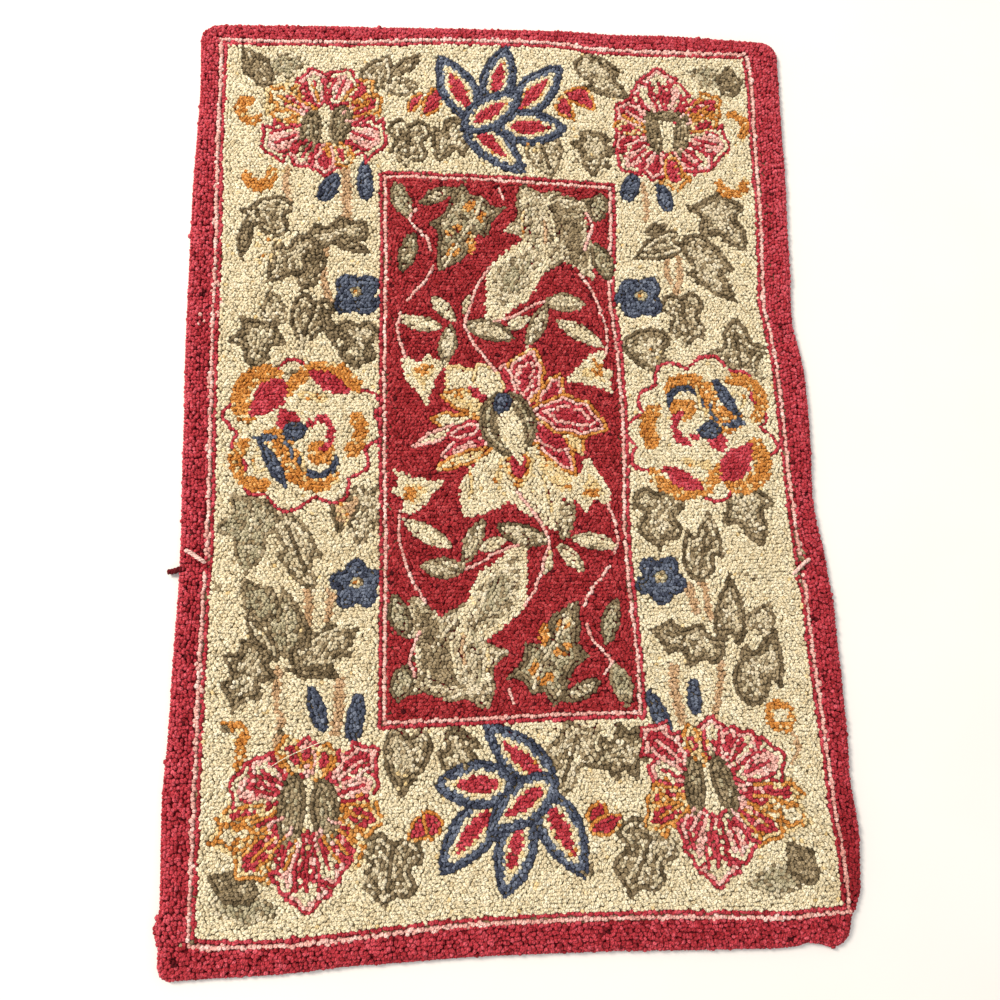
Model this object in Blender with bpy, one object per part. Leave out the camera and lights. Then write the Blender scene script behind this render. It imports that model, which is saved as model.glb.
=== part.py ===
"""A hooked rug, lying flat: wool loops pulled up through a cloth whose edge is turned under.

One closed solid: foundation cloth and pile together, as thick as the loops stand.
+X is the width, +Y the length, +Z up. The origin is under the middle, on the floor.
"""

import math

import bmesh
import bpy

# Driving dimensions, in metres.
WIDTH = 0.610
LENGTH = 0.910
THICKNESS = 0.008  # foundation cloth and the loops standing on it
EDGE_HEIGHT = 0.0035  # how high the turned edge stands before the pile rolls over it
EDGE_ROLL = 0.009  # how far in from the edge the pile reaches its full height
COLUMNS = 40
ROWS = 56

# Corner radii: each corner is turned under by hand, so no two are alike.
FAR_LEFT_RADIUS = 0.021
FAR_RIGHT_RADIUS = 0.019
NEAR_LEFT_RADIUS = 0.011
NEAR_RIGHT_RADIUS = 0.022

# How far each edge wanders out of its straight line: (along the edge, out) in metres.
LEFT_DRIFT = (
    (-0.455, 0.000), (-0.428, 0.001), (-0.415, 0.005), (-0.402, 0.001), (-0.310, 0.003),
    (-0.240, 0.000), (-0.100, -0.003), (0.010, -0.001), (0.111, 0.001), (0.256, 0.001),
    (0.379, -0.002), (0.455, 0.000),
)
RIGHT_DRIFT = (
    (-0.455, -0.007), (-0.436, -0.008), (-0.408, 0.004), (-0.385, 0.006), (-0.362, 0.008),
    (-0.345, 0.007), (-0.312, 0.004), (-0.276, 0.006), (-0.158, 0.005), (-0.110, 0.001),
    (-0.058, -0.006), (0.018, -0.002), (0.084, -0.002), (0.125, -0.010), (0.211, -0.006),
    (0.310, -0.002), (0.455, 0.001),
)
FAR_DRIFT = (
    (-0.305, 0.000), (-0.150, 0.003), (-0.016, 0.005), (0.077, 0.006), (0.127, 0.003),
    (0.170, 0.004), (0.305, 0.000),
)
NEAR_DRIFT = (
    (-0.305, 0.001), (-0.213, 0.000), (-0.129, -0.004), (-0.035, -0.006), (0.076, -0.005),
    (0.166, -0.002), (0.240, 0.000), (0.265, -0.004), (0.279, 0.001), (0.305, 0.001),
)

# Soft unevenness of the pile: (middle X, middle Y, spread X, spread Y, rise) in metres.
# The long trough is the old fold across the rug, a little nearer one end.
SWELLS = (
    (0.000, -0.098, 0.900, 0.008, -0.0009),
    (-0.190, 0.120, 0.110, 0.140, 0.0006),
    (0.150, 0.260, 0.130, 0.120, 0.0005),
    (0.060, -0.250, 0.120, 0.110, 0.0006),
    (-0.210, -0.330, 0.080, 0.070, -0.0005),
    (0.292, -0.300, 0.020, 0.090, 0.0010),
    (0.292, 0.020, 0.020, 0.110, 0.0006),
    (-0.292, -0.180, 0.018, 0.120, 0.0006),
)


def drift(table, along):
    """How far out an edge stands at a place along it, easing from one row to the next."""
    for (start, out), (end, next_out) in zip(table, table[1:]):
        if along <= end:
            share = min(max((along - start) / (end - start), 0.0), 1.0)
            return out + (next_out - out) * share * share * (3.0 - 2.0 * share)
    return table[-1][1]


def corner_radius(x, y):
    if y > 0:
        return FAR_RIGHT_RADIUS if x > 0 else FAR_LEFT_RADIUS
    return NEAR_RIGHT_RADIUS if x > 0 else NEAR_LEFT_RADIUS


def round_corner(x, y):
    """A place on a square-cornered rug, moved in where the corner is rounded."""
    radius = corner_radius(x, y)
    over_x = abs(x) - (WIDTH / 2 - radius)
    over_y = abs(y) - (LENGTH / 2 - radius)
    if over_x <= 0 or over_y <= 0:
        return x, y
    squeeze = max(over_x, over_y) / math.hypot(over_x, over_y)
    return (
        math.copysign(WIDTH / 2 - radius + over_x * squeeze, x),
        math.copysign(LENGTH / 2 - radius + over_y * squeeze, y),
    )


def wander(x, y):
    """A place moved with the edges nearest to it, by less the further in it is."""
    side = drift(RIGHT_DRIFT, y) if x > 0 else -drift(LEFT_DRIFT, y)
    end = drift(FAR_DRIFT, x) if y > 0 else -drift(NEAR_DRIFT, x)
    return x + side * abs(2 * x / WIDTH) ** 3, y + end * abs(2 * y / LENGTH) ** 3


def pile_height(x, y, inset):
    """How high the pile stands at a place that is this far in from the edge."""
    swell = sum(
        rise * math.exp(-(((x - cx) / wide) ** 2) - ((y - cy) / long) ** 2)
        for cx, cy, wide, long, rise in SWELLS
    )
    out = max(1.0 - inset / EDGE_ROLL, 0.0)
    roll = math.sqrt(1.0 - out * out)
    return EDGE_HEIGHT + (THICKNESS - EDGE_HEIGHT + swell) * roll


def rug_mesh(name):
    """A grid, finer towards its edges, shaped to the rug and closed by a flat underside."""
    mesh = bmesh.new()
    bmesh.ops.create_grid(mesh, x_segments=COLUMNS, y_segments=ROWS, size=1.0)
    for vert in mesh.verts:
        square_x = WIDTH / 2 * math.sin(math.pi / 2 * vert.co.x)
        square_y = LENGTH / 2 * math.sin(math.pi / 2 * vert.co.y)
        inset = min(WIDTH / 2 - abs(square_x), LENGTH / 2 - abs(square_y))
        x, y = wander(*round_corner(square_x, square_y))
        vert.co = (x, y, pile_height(x, y, inset))
    rim = [edge for edge in mesh.edges if edge.is_boundary]
    walls = bmesh.ops.extrude_edge_only(mesh, edges=rim)["geom"]
    for part in walls:
        if isinstance(part, bmesh.types.BMVert):
            part.co.z = 0.0
    floor_rim = [edge for edge in mesh.edges if edge.is_boundary]
    bmesh.ops.triangle_fill(mesh, edges=floor_rim, use_beauty=True, use_dissolve=False)
    bmesh.ops.recalc_face_normals(mesh, faces=mesh.faces)
    middle_x = (max(v.co.x for v in mesh.verts) + min(v.co.x for v in mesh.verts)) / 2
    middle_y = (max(v.co.y for v in mesh.verts) + min(v.co.y for v in mesh.verts)) / 2
    bmesh.ops.translate(mesh, verts=mesh.verts, vec=(-middle_x, -middle_y, 0.0))
    data = bpy.data.meshes.new(name)
    mesh.to_mesh(data)
    mesh.free()
    data.shade_smooth()
    data.set_sharp_from_angle(angle=math.radians(50))
    return data


def wool(name, colour, roughness):
    material = bpy.data.materials.new(name)
    material.use_nodes = True
    shader = material.node_tree.nodes["Principled BSDF"]
    shader.inputs["Base Color"].default_value = (*colour, 1.0)
    shader.inputs["Roughness"].default_value = roughness
    shader.inputs["Metallic"].default_value = 0.0
    return material


def main():
    for old in list(bpy.data.objects):
        bpy.data.objects.remove(old)
    parts = bpy.data.collections.new("hooked_rug")
    bpy.context.scene.collection.children.link(parts)
    rug = bpy.data.objects.new("rug", rug_mesh("rug"))
    rug.data.materials.append(wool("hooked wool", (0.55, 0.38, 0.26), 0.95))
    parts.objects.link(rug)


main()
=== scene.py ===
# %% [markdown]
# # A hooked rug, from its backing cloth to its last loop
#
# A hooked rug is made on an open-weave cloth. The maker draws a pattern on it, holds a strand of wool under
# it, and pulls the wool up through the weave one small loop at a time. Nothing is knotted: the loops hold
# because they are packed. Every line of the pattern is therefore a row of loops, and every colour is a
# different ball of wool.
#
# The script works in much the same order: the rug's edge, the wools, the pencilled pattern, the plan of which
# loop goes where in which wool, and then the loops. The cloth, which hardly shows, is cut last. It all starts
# with the solid that fixes the rug's size, which is only looked at, never changed.

# %% Load the rug's plain solid
import math

import bpy
import numpy as np
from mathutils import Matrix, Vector
from mathutils.bvhtree import BVHTree
from mathutils.kdtree import KDTree


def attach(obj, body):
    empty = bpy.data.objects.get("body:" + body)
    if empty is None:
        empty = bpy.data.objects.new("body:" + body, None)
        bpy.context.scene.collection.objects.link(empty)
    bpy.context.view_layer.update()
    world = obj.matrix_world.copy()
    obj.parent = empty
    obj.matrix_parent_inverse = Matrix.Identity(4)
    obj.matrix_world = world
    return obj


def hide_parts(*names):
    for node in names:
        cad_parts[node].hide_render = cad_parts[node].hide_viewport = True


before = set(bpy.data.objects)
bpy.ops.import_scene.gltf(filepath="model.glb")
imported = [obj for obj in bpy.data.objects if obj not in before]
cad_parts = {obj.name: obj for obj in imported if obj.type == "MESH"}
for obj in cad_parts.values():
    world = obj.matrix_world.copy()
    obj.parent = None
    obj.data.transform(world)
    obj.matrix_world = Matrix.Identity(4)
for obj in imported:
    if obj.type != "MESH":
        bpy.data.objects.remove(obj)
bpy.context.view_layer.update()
MM = 0.001
chance = np.random.default_rng(1871)

# %% [markdown]
# ## Camera, floor and light
#
# The rug lies on a pale floor and is seen from almost overhead, a little from its near end, by someone who
# stands at its left. A wide lens close by makes the near end look wider than the far one. The light is a
# bright, even sky with one large soft source at the far left, low enough for each loop to have a light side
# and a dark one.

# %% Camera
CAMERA_AT = (-0.0752, -0.2098, 0.8125)
CAMERA_TURN = (0.1926, -0.0809, -0.0255)
LENS_MM = 31.36
SENSOR_MM = 36.0


def put_in_scene(name, data):
    """A new object of the scene, made from its mesh, lamp or camera data."""
    thing = bpy.data.objects.new(name, data)
    bpy.context.scene.collection.objects.link(thing)
    return thing


camera_data = bpy.data.cameras.new("camera")
camera_data.lens = LENS_MM
camera_data.sensor_width = SENSOR_MM
camera = put_in_scene("camera", camera_data)
camera.rotation_mode = "ZXY"
camera.location = CAMERA_AT
camera.rotation_euler = CAMERA_TURN
bpy.context.scene.camera = camera
bpy.context.scene.view_settings.view_transform = "Standard"
print("camera at", CAMERA_AT, "lens", LENS_MM, "mm")

# %% Colours and shader nodes
def linear(hex_colour):
    """The linear colour that Blender's shaders use, from a paint-box colour such as #b04046."""
    shares = [int(hex_colour[i:i + 2], 16) / 255 for i in (1, 3, 5)]
    return (*[s / 12.92 if s <= 0.04045 else ((s + 0.055) / 1.055) ** 2.4 for s in shares], 1.0)


def add_node(tree, kind, settings=None, **inputs):
    """One node, with its settings, and its inputs given as values or as the sockets that feed them."""
    node = tree.nodes.new(kind)
    for name, value in (settings or {}).items():
        setattr(node, name, value)
    for name, value in inputs.items():
        socket = node.inputs[int(name[1:])] if name[1:].isdigit() else node.inputs[name.replace("_", " ")]
        if isinstance(value, bpy.types.NodeSocket):
            tree.links.new(value, socket)
        else:
            socket.default_value = value
    return node


def calc(tree, operation, *values):
    """The result of a sum or a comparison, on numbers or on the sockets that carry them."""
    numbered = {f"_{i}": value for i, value in enumerate(values)}
    return add_node(tree, "ShaderNodeMath", {"operation": operation}, **numbered).outputs[0]


def scaled(tree, colour, share):
    """A colour made darker or lighter."""
    return add_node(tree, "ShaderNodeVectorMath", {"operation": "SCALE"}, _0=colour, Scale=share).outputs[0]


def blend(tree, share, first, second):
    """A mix of two colours: the share says how much there is of the second."""
    return add_node(tree, "ShaderNodeMix", {"data_type": "RGBA"}, _0=share, _6=first, _7=second).outputs[2]


def new_material(name):
    """An empty material with its shader: returns the material, its tree and the shader node."""
    material = bpy.data.materials.new(name)
    material.use_nodes = True
    return material, material.node_tree, material.node_tree.nodes["Principled BSDF"]


print("middle grey #808080 sends back", round(linear("#808080")[0], 3), "of the light")

# %% Floor, sky and lamp
def floor_paper():
    """Matt white board: no pattern worth seeing, only a faint unevenness so that it isn't a digital white."""
    material, tree, shader = new_material("matt_white_board")
    place = add_node(tree, "ShaderNodeTexCoord")
    grain = add_node(tree, "ShaderNodeTexNoise", Vector=place.outputs["Object"], Scale=9.0, Detail=3.0)
    tint = blend(tree, grain.outputs["Fac"], linear("#dcdbd8"), linear("#e1e0de"))
    tree.links.new(tint, shader.inputs["Base Color"])
    shader.inputs["Roughness"].default_value = 0.9
    return material


FLOOR_SIDE = 6.0
FLOOR_HEIGHT = -0.4 * MM
SKY_STRENGTH = 0.82
LAMP_WATTS = 172.0
LAMP_SIDE = 1.2
LAMP_AT = Vector((-2.3, 1.4, 2.6))
LAMP_AIM = Vector((0.0, 0.0, 0.0))

bpy.ops.mesh.primitive_plane_add(size=FLOOR_SIDE, location=(0.0, 0.0, FLOOR_HEIGHT))
floor = bpy.context.object
floor.name = "floor"
floor.data.materials.append(floor_paper())

world = bpy.data.worlds.new("sky")
bpy.context.scene.world = world
world.use_nodes = True
world.node_tree.nodes["Background"].inputs["Color"].default_value = linear("#fffdfa")
world.node_tree.nodes["Background"].inputs["Strength"].default_value = SKY_STRENGTH

lamp_data = bpy.data.lights.new("window", "AREA")
lamp_data.energy = LAMP_WATTS
lamp_data.size = LAMP_SIDE
lamp_data.color = linear("#fff4e6")[:3]
lamp = put_in_scene("window", lamp_data)
lamp.location = LAMP_AT
lamp.rotation_euler = (LAMP_AIM - LAMP_AT).to_track_quat("-Z", "Y").to_euler()
print("lamp", round((LAMP_AIM - LAMP_AT).length, 2), "m away")

# %% [markdown]
# ## The rug's edge and the height of its pile
#
# The turned edge of a real rug wanders, and each corner is rounded differently. The plain solid already has
# that outline and the soft swell of the pile, so both are read from it: its lowest ring of points is the
# edge, and a ray dropped from above finds how high the loop tips stand at any place, and which way the pile
# leans there.

# %% Read the edge and the pile's surface
ON_THE_FLOOR = 0.0001  # points below this height are the solid's lowest ring
DROPPED_FROM = 0.1
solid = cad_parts["rug"]
solid_points = np.array([vert.co for vert in solid.data.vertices])
low_ring = np.unique(np.round(solid_points[solid_points[:, 2] < ON_THE_FLOOR, :2], 5), axis=0)
low_ring = low_ring[np.argsort(np.arctan2(low_ring[:, 1], low_ring[:, 0]))]
solid_tree = BVHTree.FromPolygons(
    [vert.co.copy() for vert in solid.data.vertices], [face.vertices[:] for face in solid.data.polygons]
)


def pile_top(x, y):
    """The pile's surface over a place on the floor, and the direction in which a loop stands there."""
    place, normal, _, _ = solid_tree.ray_cast(Vector((x, y, DROPPED_FROM)), Vector((0, 0, -1)))
    return (place, normal) if place else (None, None)


middle_top, _ = pile_top(0.0, 0.0)
print("edge ring", len(low_ring), "points; pile", round(middle_top.z / MM, 2), "mm high in the middle")

# %% [markdown]
# ## The balls of wool
#
# The rug takes fourteen yarns. Hand-dyed wool is never one colour: a strand goes from darker to lighter
# along its length, so each yarn has a dark, a middle and a light tone, and every loop is given a place
# between them.

# %% The yarns
YARNS = {  # name: dark, middle and light tone
    "cherry": ("#8a1b23", "#b73843", "#d75c69"),
    "crimson": ("#791417", "#a22c32", "#c14d51"),
    "cream": ("#cfbd97", "#e8dbb9", "#fbf2d6"),
    "pink": ("#cf8e84", "#f0b9ae", "#fedfd6"),
    "umber": ("#4f422d", "#74644a", "#968569"),
    "taupe": ("#706046", "#9b8969", "#bbaa8b"),
    "ash": ("#b2a585", "#d7c9a9", "#eee4cc"),
    "olive": ("#918768", "#b8ae8e", "#d5cbb0"),
    "gold": ("#a25f26", "#cd883e", "#e8ae68"),
    "straw": ("#d3b67c", "#e8cf9a", "#f6e6c0"),
    "navy": ("#2b2f3e", "#43495b", "#60687a"),
    "slate": ("#474f60", "#626b7e", "#868fa0"),
    "fawn": ("#a9865f", "#c9a67f", "#dfbd9a"),
    "maroon": ("#3c0209", "#5c0a14", "#7a1a22"),
}
WOOLS = list(YARNS)
print(len(WOOLS), "wools:", ", ".join(WOOLS))

# %% [markdown]
# ## Drawing the pattern
#
# Before hooking, the pattern is pencilled on the cloth. Here it is drawn in millimetres about the middle of
# the cloth, +X to the right and +Y to the far end. Four things are enough to draw it: an easy curve
# through a few points, a petal between a base and a tip, an oval, and an arc of a given thickness. Each shape
# then says how it is worked: in bands from its outline inwards, each with its wool and its width, just as a
# maker outlines a petal in red, puts one row of pink inside, and fills the heart with cream.

# %% Curves, petals, ovals and arcs
PETAL_POINTS = 26  # along one side of a petal or an arc
OVAL_POINTS = 48


def easy_curve(points, closed=True, step=2.0):
    """A smooth line through a few points. A point that is given twice is a sharp corner."""
    points = np.array(points, float)
    count = len(points)
    line = []
    for i in range(count if closed else count - 1):
        before, start, end, after = (
            points[(i + k) % count] if closed else points[min(max(i + k, 0), count - 1)]
            for k in (-1, 0, 1, 2)
        )
        length = math.hypot(*(end - start))
        if length < 0.01:
            continue
        for t in np.arange(0.0, 1.0, 1.0 / max(1, math.ceil(length / step))):
            line.append(0.5 * (
                2 * start + (end - before) * t + (2 * before - 5 * start + 4 * end - after) * t ** 2
                + (3 * start - before - 3 * end + after) * t ** 3
            ))
    if not closed:
        line.append(points[-1])
    return np.array(line)


def petal(base, tip, width, belly=0.5, bend=0.0, teeth=0, bite=0.12):
    """A leaf or petal from its base to its pointed tip. belly says how far along it is widest, teeth notch
    it by the depth of bite, and bend bows it to one side."""
    base, tip = np.array(base, float), np.array(tip, float)
    along = tip - base
    across = np.array([-along[1], along[0]]) / math.hypot(*along)
    t = np.linspace(0.0, 1.0, PETAL_POINTS)
    half = width / 2 * np.sin(np.pi * t ** (math.log(0.5) / math.log(belly))) ** 0.75
    half = half * (1 + bite * np.sin(2 * np.pi * teeth * t + 0.9))
    spine = base + along * t[:, None] + across * (bend * width * np.sin(np.pi * t))[:, None]
    return np.vstack([spine + across * half[:, None], (spine - across * half[:, None])[-2:0:-1]])


def oval(x, y, long, wide, turn=0.0, waves=0, depth=0.1):
    """An oval, or with waves a scalloped one, turned anticlockwise by so many degrees."""
    a = np.linspace(0.0, 2 * np.pi, OVAL_POINTS, endpoint=False)
    r = 1 - depth * (1 - np.abs(np.cos(waves * a / 2))) if waves else np.ones_like(a)
    ring = np.stack([long / 2 * r * np.cos(a), wide / 2 * r * np.sin(a)], 1)
    return turned(ring, turn) + (x, y)


def arc(x, y, radius, thick, start, end):
    """A band of a circle, with round ends that thin out a little."""
    a = np.radians(np.linspace(start, end, PETAL_POINTS))
    half = thick / 2 * np.clip(np.sin(np.linspace(0.0, np.pi, PETAL_POINTS)) * 2.2 + 0.25, 0, 1)
    ray = np.stack([np.cos(a), np.sin(a)], 1)
    return np.vstack([ray * (radius + half)[:, None], (ray * (radius - half)[:, None])[::-1]]) + (x, y)


def turned(points, degrees, about=(0.0, 0.0)):
    """Points turned anticlockwise about a place."""
    c, s = math.cos(math.radians(degrees)), math.sin(math.radians(degrees))
    return (np.array(points, float) - about) @ np.array([[c, s], [-s, c]]) + about


print("a petal is drawn with", len(petal((0, 0), (0, 40), 20)), "points, an oval with", OVAL_POINTS)

# %% Shapes and rows
ROW = 3.4  # a row of loops is this wide
GUARD = 4.4  # the guard lines are hooked in a thicker yarn
FILL = 999.0  # the last band of a shape goes on to its middle
PATTERN_TURNS_ABOUT = (0.0, 19.0)
shapes = []
rows = []


def shape(outline, *bands, shade=None, uneven=0.5):
    """A shape and its bands, as wool and width. shade is a direction in degrees and the mm by which the bands
    thicken on that side, as where only the underside of a leaf has a dark outline. uneven is the mm by which
    the bands wander in and out."""
    shapes.append({"outline": np.array(outline, float), "bands": bands, "shade": shade, "uneven": uneven})


def row(wool, *points):
    """A single row of loops along an easy curve."""
    rows.append((wool, easy_curve(points, closed=False)))


def half_turned(draw):
    """Draws something, and then once more turned half round about the middle of the pattern."""
    first_shape, first_row = len(shapes), len(rows)
    draw()
    for old in shapes[first_shape:]:
        shade = old["shade"] and (old["shade"][0] + 180, old["shade"][1])
        shapes.append({**old, "outline": turned(old["outline"], 180, PATTERN_TURNS_ABOUT), "shade": shade})
    for wool, line in rows[first_row:]:
        rows.append((wool, turned(line, 180, PATTERN_TURNS_ABOUT)))


print("a row is", ROW, "mm wide, a guard line", GUARD)

# %% [markdown]
# ## Guard lines
#
# The plain red border ends in two guard lines, one pink row and a narrow red band, that run round the cream
# field. The red panel in the middle has the same pair in the other order. They are never quite straight:
# the maker followed a thread of the cloth that was already pulled out of true.
#
# From here on every shape is drawn over the ones before it, so the ground comes first and the fine things
# last.

# %% Field and panel
FIELD = [
    (-285, 440), (-285, 440), (-240, 440), (-200, 441), (-150, 442), (-100, 445), (-50, 448), (60, 448),
    (100, 443), (150, 441), (210, 441), (274, 441), (274, 441), (277, 400), (275, 330), (274, 250),
    (271, 190), (269, 150), (273, 120), (277, 80), (279, 0), (280, -50), (282, -90), (286, -150),
    (287, -200), (290, -250), (292, -300), (294, -340), (298, -380), (298, -429), (298, -429), (240, -432),
    (180, -429), (100, -426), (0, -425), (-60, -426), (-120, -430), (-200, -435), (-260, -433),
    (-283, -430), (-283, -430), (-283, -300), (-282, -150), (-280, -90), (-281, 0), (-283, 100),
    (-283, 200), (-285, 300),
]
PANEL = [
    (-122, 291), (-122, 291), (-90, 292), (-50, 291), (0, 290), (50, 287), (90, 285), (120, 283),
    (120, 283), (119, 240), (116, 200), (114, 170), (114, 150), (118, 110), (120, 50), (120, 0), (117, -60),
    (117, -110), (119, -150), (122, -200), (122, -254), (122, -254), (60, -254), (0, -255), (-60, -256),
    (-120, -257), (-122, -256), (-122, -256), (-122, -200), (-121, -100), (-122, 0), (-122, 100),
    (-121, 200),
]
GUARD_STEP = 8.0  # mm between the points of a long, nearly straight line
shape(easy_curve(FIELD, step=GUARD_STEP), ("pink", GUARD), ("cherry", 4.2), ("cream", FILL), uneven=0.2)
print("field", *np.ptp(FIELD, axis=0), "mm; panel", *np.ptp(PANEL, axis=0), "mm")

# %% [markdown]
# ## Leaves of the field
#
# The field is full of grey-brown leaves. No two are alike, but they are all one of a few kinds: a plain
# blade, a heart with its tip drawn out, a leaf with a spur at one side, a lobed one like a vine's or like
# ivy, and a ragged one. Each is outlined in dark umber, more heavily on its shaded side, filled with taupe
# and ash, and has a vein or two.

# %% Leaf kinds
LEAF_KINDS = {
    "heart": [
        (0.10, 0.0), (-0.02, 0.2), (0.05, 0.44), (0.3, 0.52), (0.58, 0.38), (0.82, 0.16), (1.0, 0.0),
        (1.0, 0.0), (0.8, -0.18), (0.6, -0.4), (0.3, -0.5), (0.05, -0.42), (-0.02, -0.18),
    ],
    "spur": [
        (0.0, 0.0), (0.06, 0.28), (0.28, 0.48), (0.5, 0.5), (0.66, 0.5), (0.62, 0.26), (0.82, 0.18),
        (1.0, 0.02), (1.0, 0.02), (0.84, -0.2), (0.62, -0.42), (0.38, -0.52), (0.4, -0.3), (0.18, -0.36),
        (0.02, -0.18),
    ],
    "vine": [
        (0.0, 0.0), (0.02, 0.2), (-0.05, 0.44), (0.14, 0.38), (0.34, 0.54), (0.46, 0.52), (0.5, 0.28),
        (0.74, 0.26), (1.0, 0.0), (1.0, 0.0), (0.78, -0.22), (0.56, -0.3), (0.5, -0.52), (0.38, -0.54),
        (0.2, -0.36), (-0.05, -0.44), (0.0, -0.2),
    ],
    "ivy": [
        (0.06, 0.0), (-0.03, 0.22), (0.08, 0.46), (0.3, 0.52), (0.44, 0.34), (0.62, 0.46), (0.82, 0.36),
        (0.84, 0.14), (1.0, 0.02), (1.0, 0.02), (0.86, -0.2), (0.7, -0.42), (0.5, -0.38), (0.42, -0.3),
        (0.28, -0.52), (0.05, -0.44), (-0.03, -0.2),
    ],
    "ragged": [
        (0.0, 0.06), (0.1, 0.3), (0.22, 0.26), (0.34, 0.52), (0.5, 0.3), (0.66, 0.42), (0.78, 0.2),
        (1.0, 0.08), (1.0, 0.08), (0.84, -0.08), (0.72, -0.34), (0.56, -0.24), (0.36, -0.5), (0.24, -0.3),
        (0.06, -0.34),
    ],
}
LEAF_WOOLS = {
    "dark": (("umber", 4.6), ("taupe", FILL)),
    "mid": (("umber", 3.6), ("taupe", 4.2), ("ash", FILL)),
    "open": (("umber", 3.8), ("ash", 4.5), ("taupe", 4.0), ("ash", FILL)),
    "pale": (("taupe", 3.2), ("ash", FILL)),
    "grey": (("taupe", 4.5), ("olive", FILL)),
    "tan": (("umber", 3.6), ("fawn", FILL)),
}


def leaf(kind, x, y, long, wide, tip, wools="mid", dark_side=240, veins=1):
    """A leaf of a kind, by its middle, its size, where its tip points, and the side that is dark."""
    if kind == "blade":
        outline = petal((-long / 2, 0), (long / 2, 0), wide, belly=0.45, teeth=2, bite=0.1)
    else:
        outline = easy_curve([((a - 0.5) * long, b * wide) for a, b in LEAF_KINDS[kind]])
    shape(turned(outline, tip) + (x, y), *LEAF_WOOLS[wools], shade=(dark_side, 2.6), uneven=1.9)
    for i in range(veins):
        side = (i - (veins - 1) / 2) * 0.5
        vein = [(-0.36 * long, side * 0.3 * wide), (0.0, side * wide), (0.26 * long, side * 0.8 * wide)]
        row("umber" if wools in ("pale", "open") else "ash", *(turned(vein, tip) + (x, y)))


print("leaf kinds:", "blade,", ", ".join(LEAF_KINDS))

# %% Where the leaves lie
# Kind, middle x and y, length, width, where the tip points, wools, dark side, veins.
LEAVES = (
    ("blade", -253, 216, 50, 15, 262, "mid", 180, 0), ("heart", -234, 242, 50, 44, 172, "open", 40, 0),
    ("ragged", -168, 222, 74, 38, 186, "mid", 90, 1), ("blade", -150, 212, 44, 17, -28, "dark", 60, 0),
    ("spur", -207, 192, 66, 50, 222, "mid", 320, 1), ("ivy", -190, 180, 46, 26, 250, "dark", 0, 0),
    ("heart", -224, 146, 40, 24, 100, "pale", 90, 0), ("vine", -238, 104, 54, 48, 265, "mid", 150, 1),
    ("heart", -190, 127, 58, 40, 255, "open", 60, 1), ("blade", -170, 124, 52, 13, 290, "dark", 0, 0),
    ("ivy", -143, 104, 52, 42, 268, "mid", 180, 1),
    ("vine", -239, -80, 74, 56, 266, "grey", 60, 1), ("spur", -195, -98, 82, 36, 292, "pale", 20, 1),
    ("heart", -136, -66, 62, 34, 262, "pale", 40, 0), ("heart", -155, -62, 40, 26, 255, "tan", 200, 0),
    ("blade", -228, -142, 58, 30, 130, "grey", 60, 0), ("spur", -204, -160, 66, 36, 96, "grey", 20, 1),
    ("blade", -226, -174, 54, 16, 128, "open", 220, 0), ("ragged", -240, -208, 66, 54, 244, "mid", 90, 1),
    ("ragged", -168, -184, 70, 50, 24, "mid", 250, 2), ("blade", -180, -206, 50, 11, 172, "dark", 270, 0),
    ("vine", 234, 238, 72, 52, 304, "mid", 60, 1), ("heart", 158, 210, 58, 30, 205, "open", 90, 0),
    ("blade", 160, 232, 26, 16, 20, "dark", 60, 0), ("spur", 214, 188, 88, 44, 302, "mid", 50, 2),
    ("ivy", 184, 132, 60, 42, 276, "open", 60, 1), ("heart", 138, 104, 56, 46, 170, "mid", 60, 1),
    ("vine", 236, 106, 64, 54, 92, "open", 150, 1),
    ("ivy", 145, -70, 60, 50, 268, "mid", 0, 1), ("spur", 187, -96, 70, 40, 76, "open", 250, 1),
    ("vine", 235, -68, 64, 50, 290, "mid", 0, 1), ("heart", 208, -154, 68, 32, 86, "mid", 180, 1),
    ("ragged", 162, -184, 80, 42, 158, "mid", 250, 1), ("heart", 240, -164, 34, 28, 60, "pale", 90, 0),
    ("spur", 234, -210, 76, 46, 62, "mid", 330, 1),
    ("ivy", -92, 322, 56, 44, 268, "open", 60, 1), ("spur", -50, 328, 58, 42, 240, "mid", 20, 1),
    ("heart", -120, 408, 44, 34, 60, "open", 180, 0), ("blade", -94, 414, 42, 17, 38, "mid", 30, 0),
    ("blade", -98, 388, 38, 22, 10, "pale", 340, 0), ("spur", 113, 404, 72, 42, 318, "mid", 60, 1),
    ("ragged", 98, 315, 56, 52, 258, "mid", 0, 2), ("heart", 50, 309, 46, 40, 285, "pale", 60, 1),
    ("ivy", 111, -377, 66, 56, 248, "open", 200, 1), ("vine", 49, -291, 70, 42, 250, "pale", 180, 1),
    ("ragged", 95, -284, 58, 52, 196, "mid", 60, 1), ("heart", -98, -288, 62, 42, 262, "mid", 270, 0),
    ("spur", -50, -277, 52, 40, 110, "mid", 150, 1), ("ivy", -112, -378, 60, 54, 262, "open", 20, 1),
)
print(len(LEAVES), "leaves")

# %% [markdown]
# ## Small things of the field
#
# Between the leaves stand tan stems, grey-blue buds and pansies, gold commas and small red hooks with a
# gold edge, and a two-tone leaf in each corner. The stems come first, because leaves and flowers are hooked
# over them.

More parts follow.
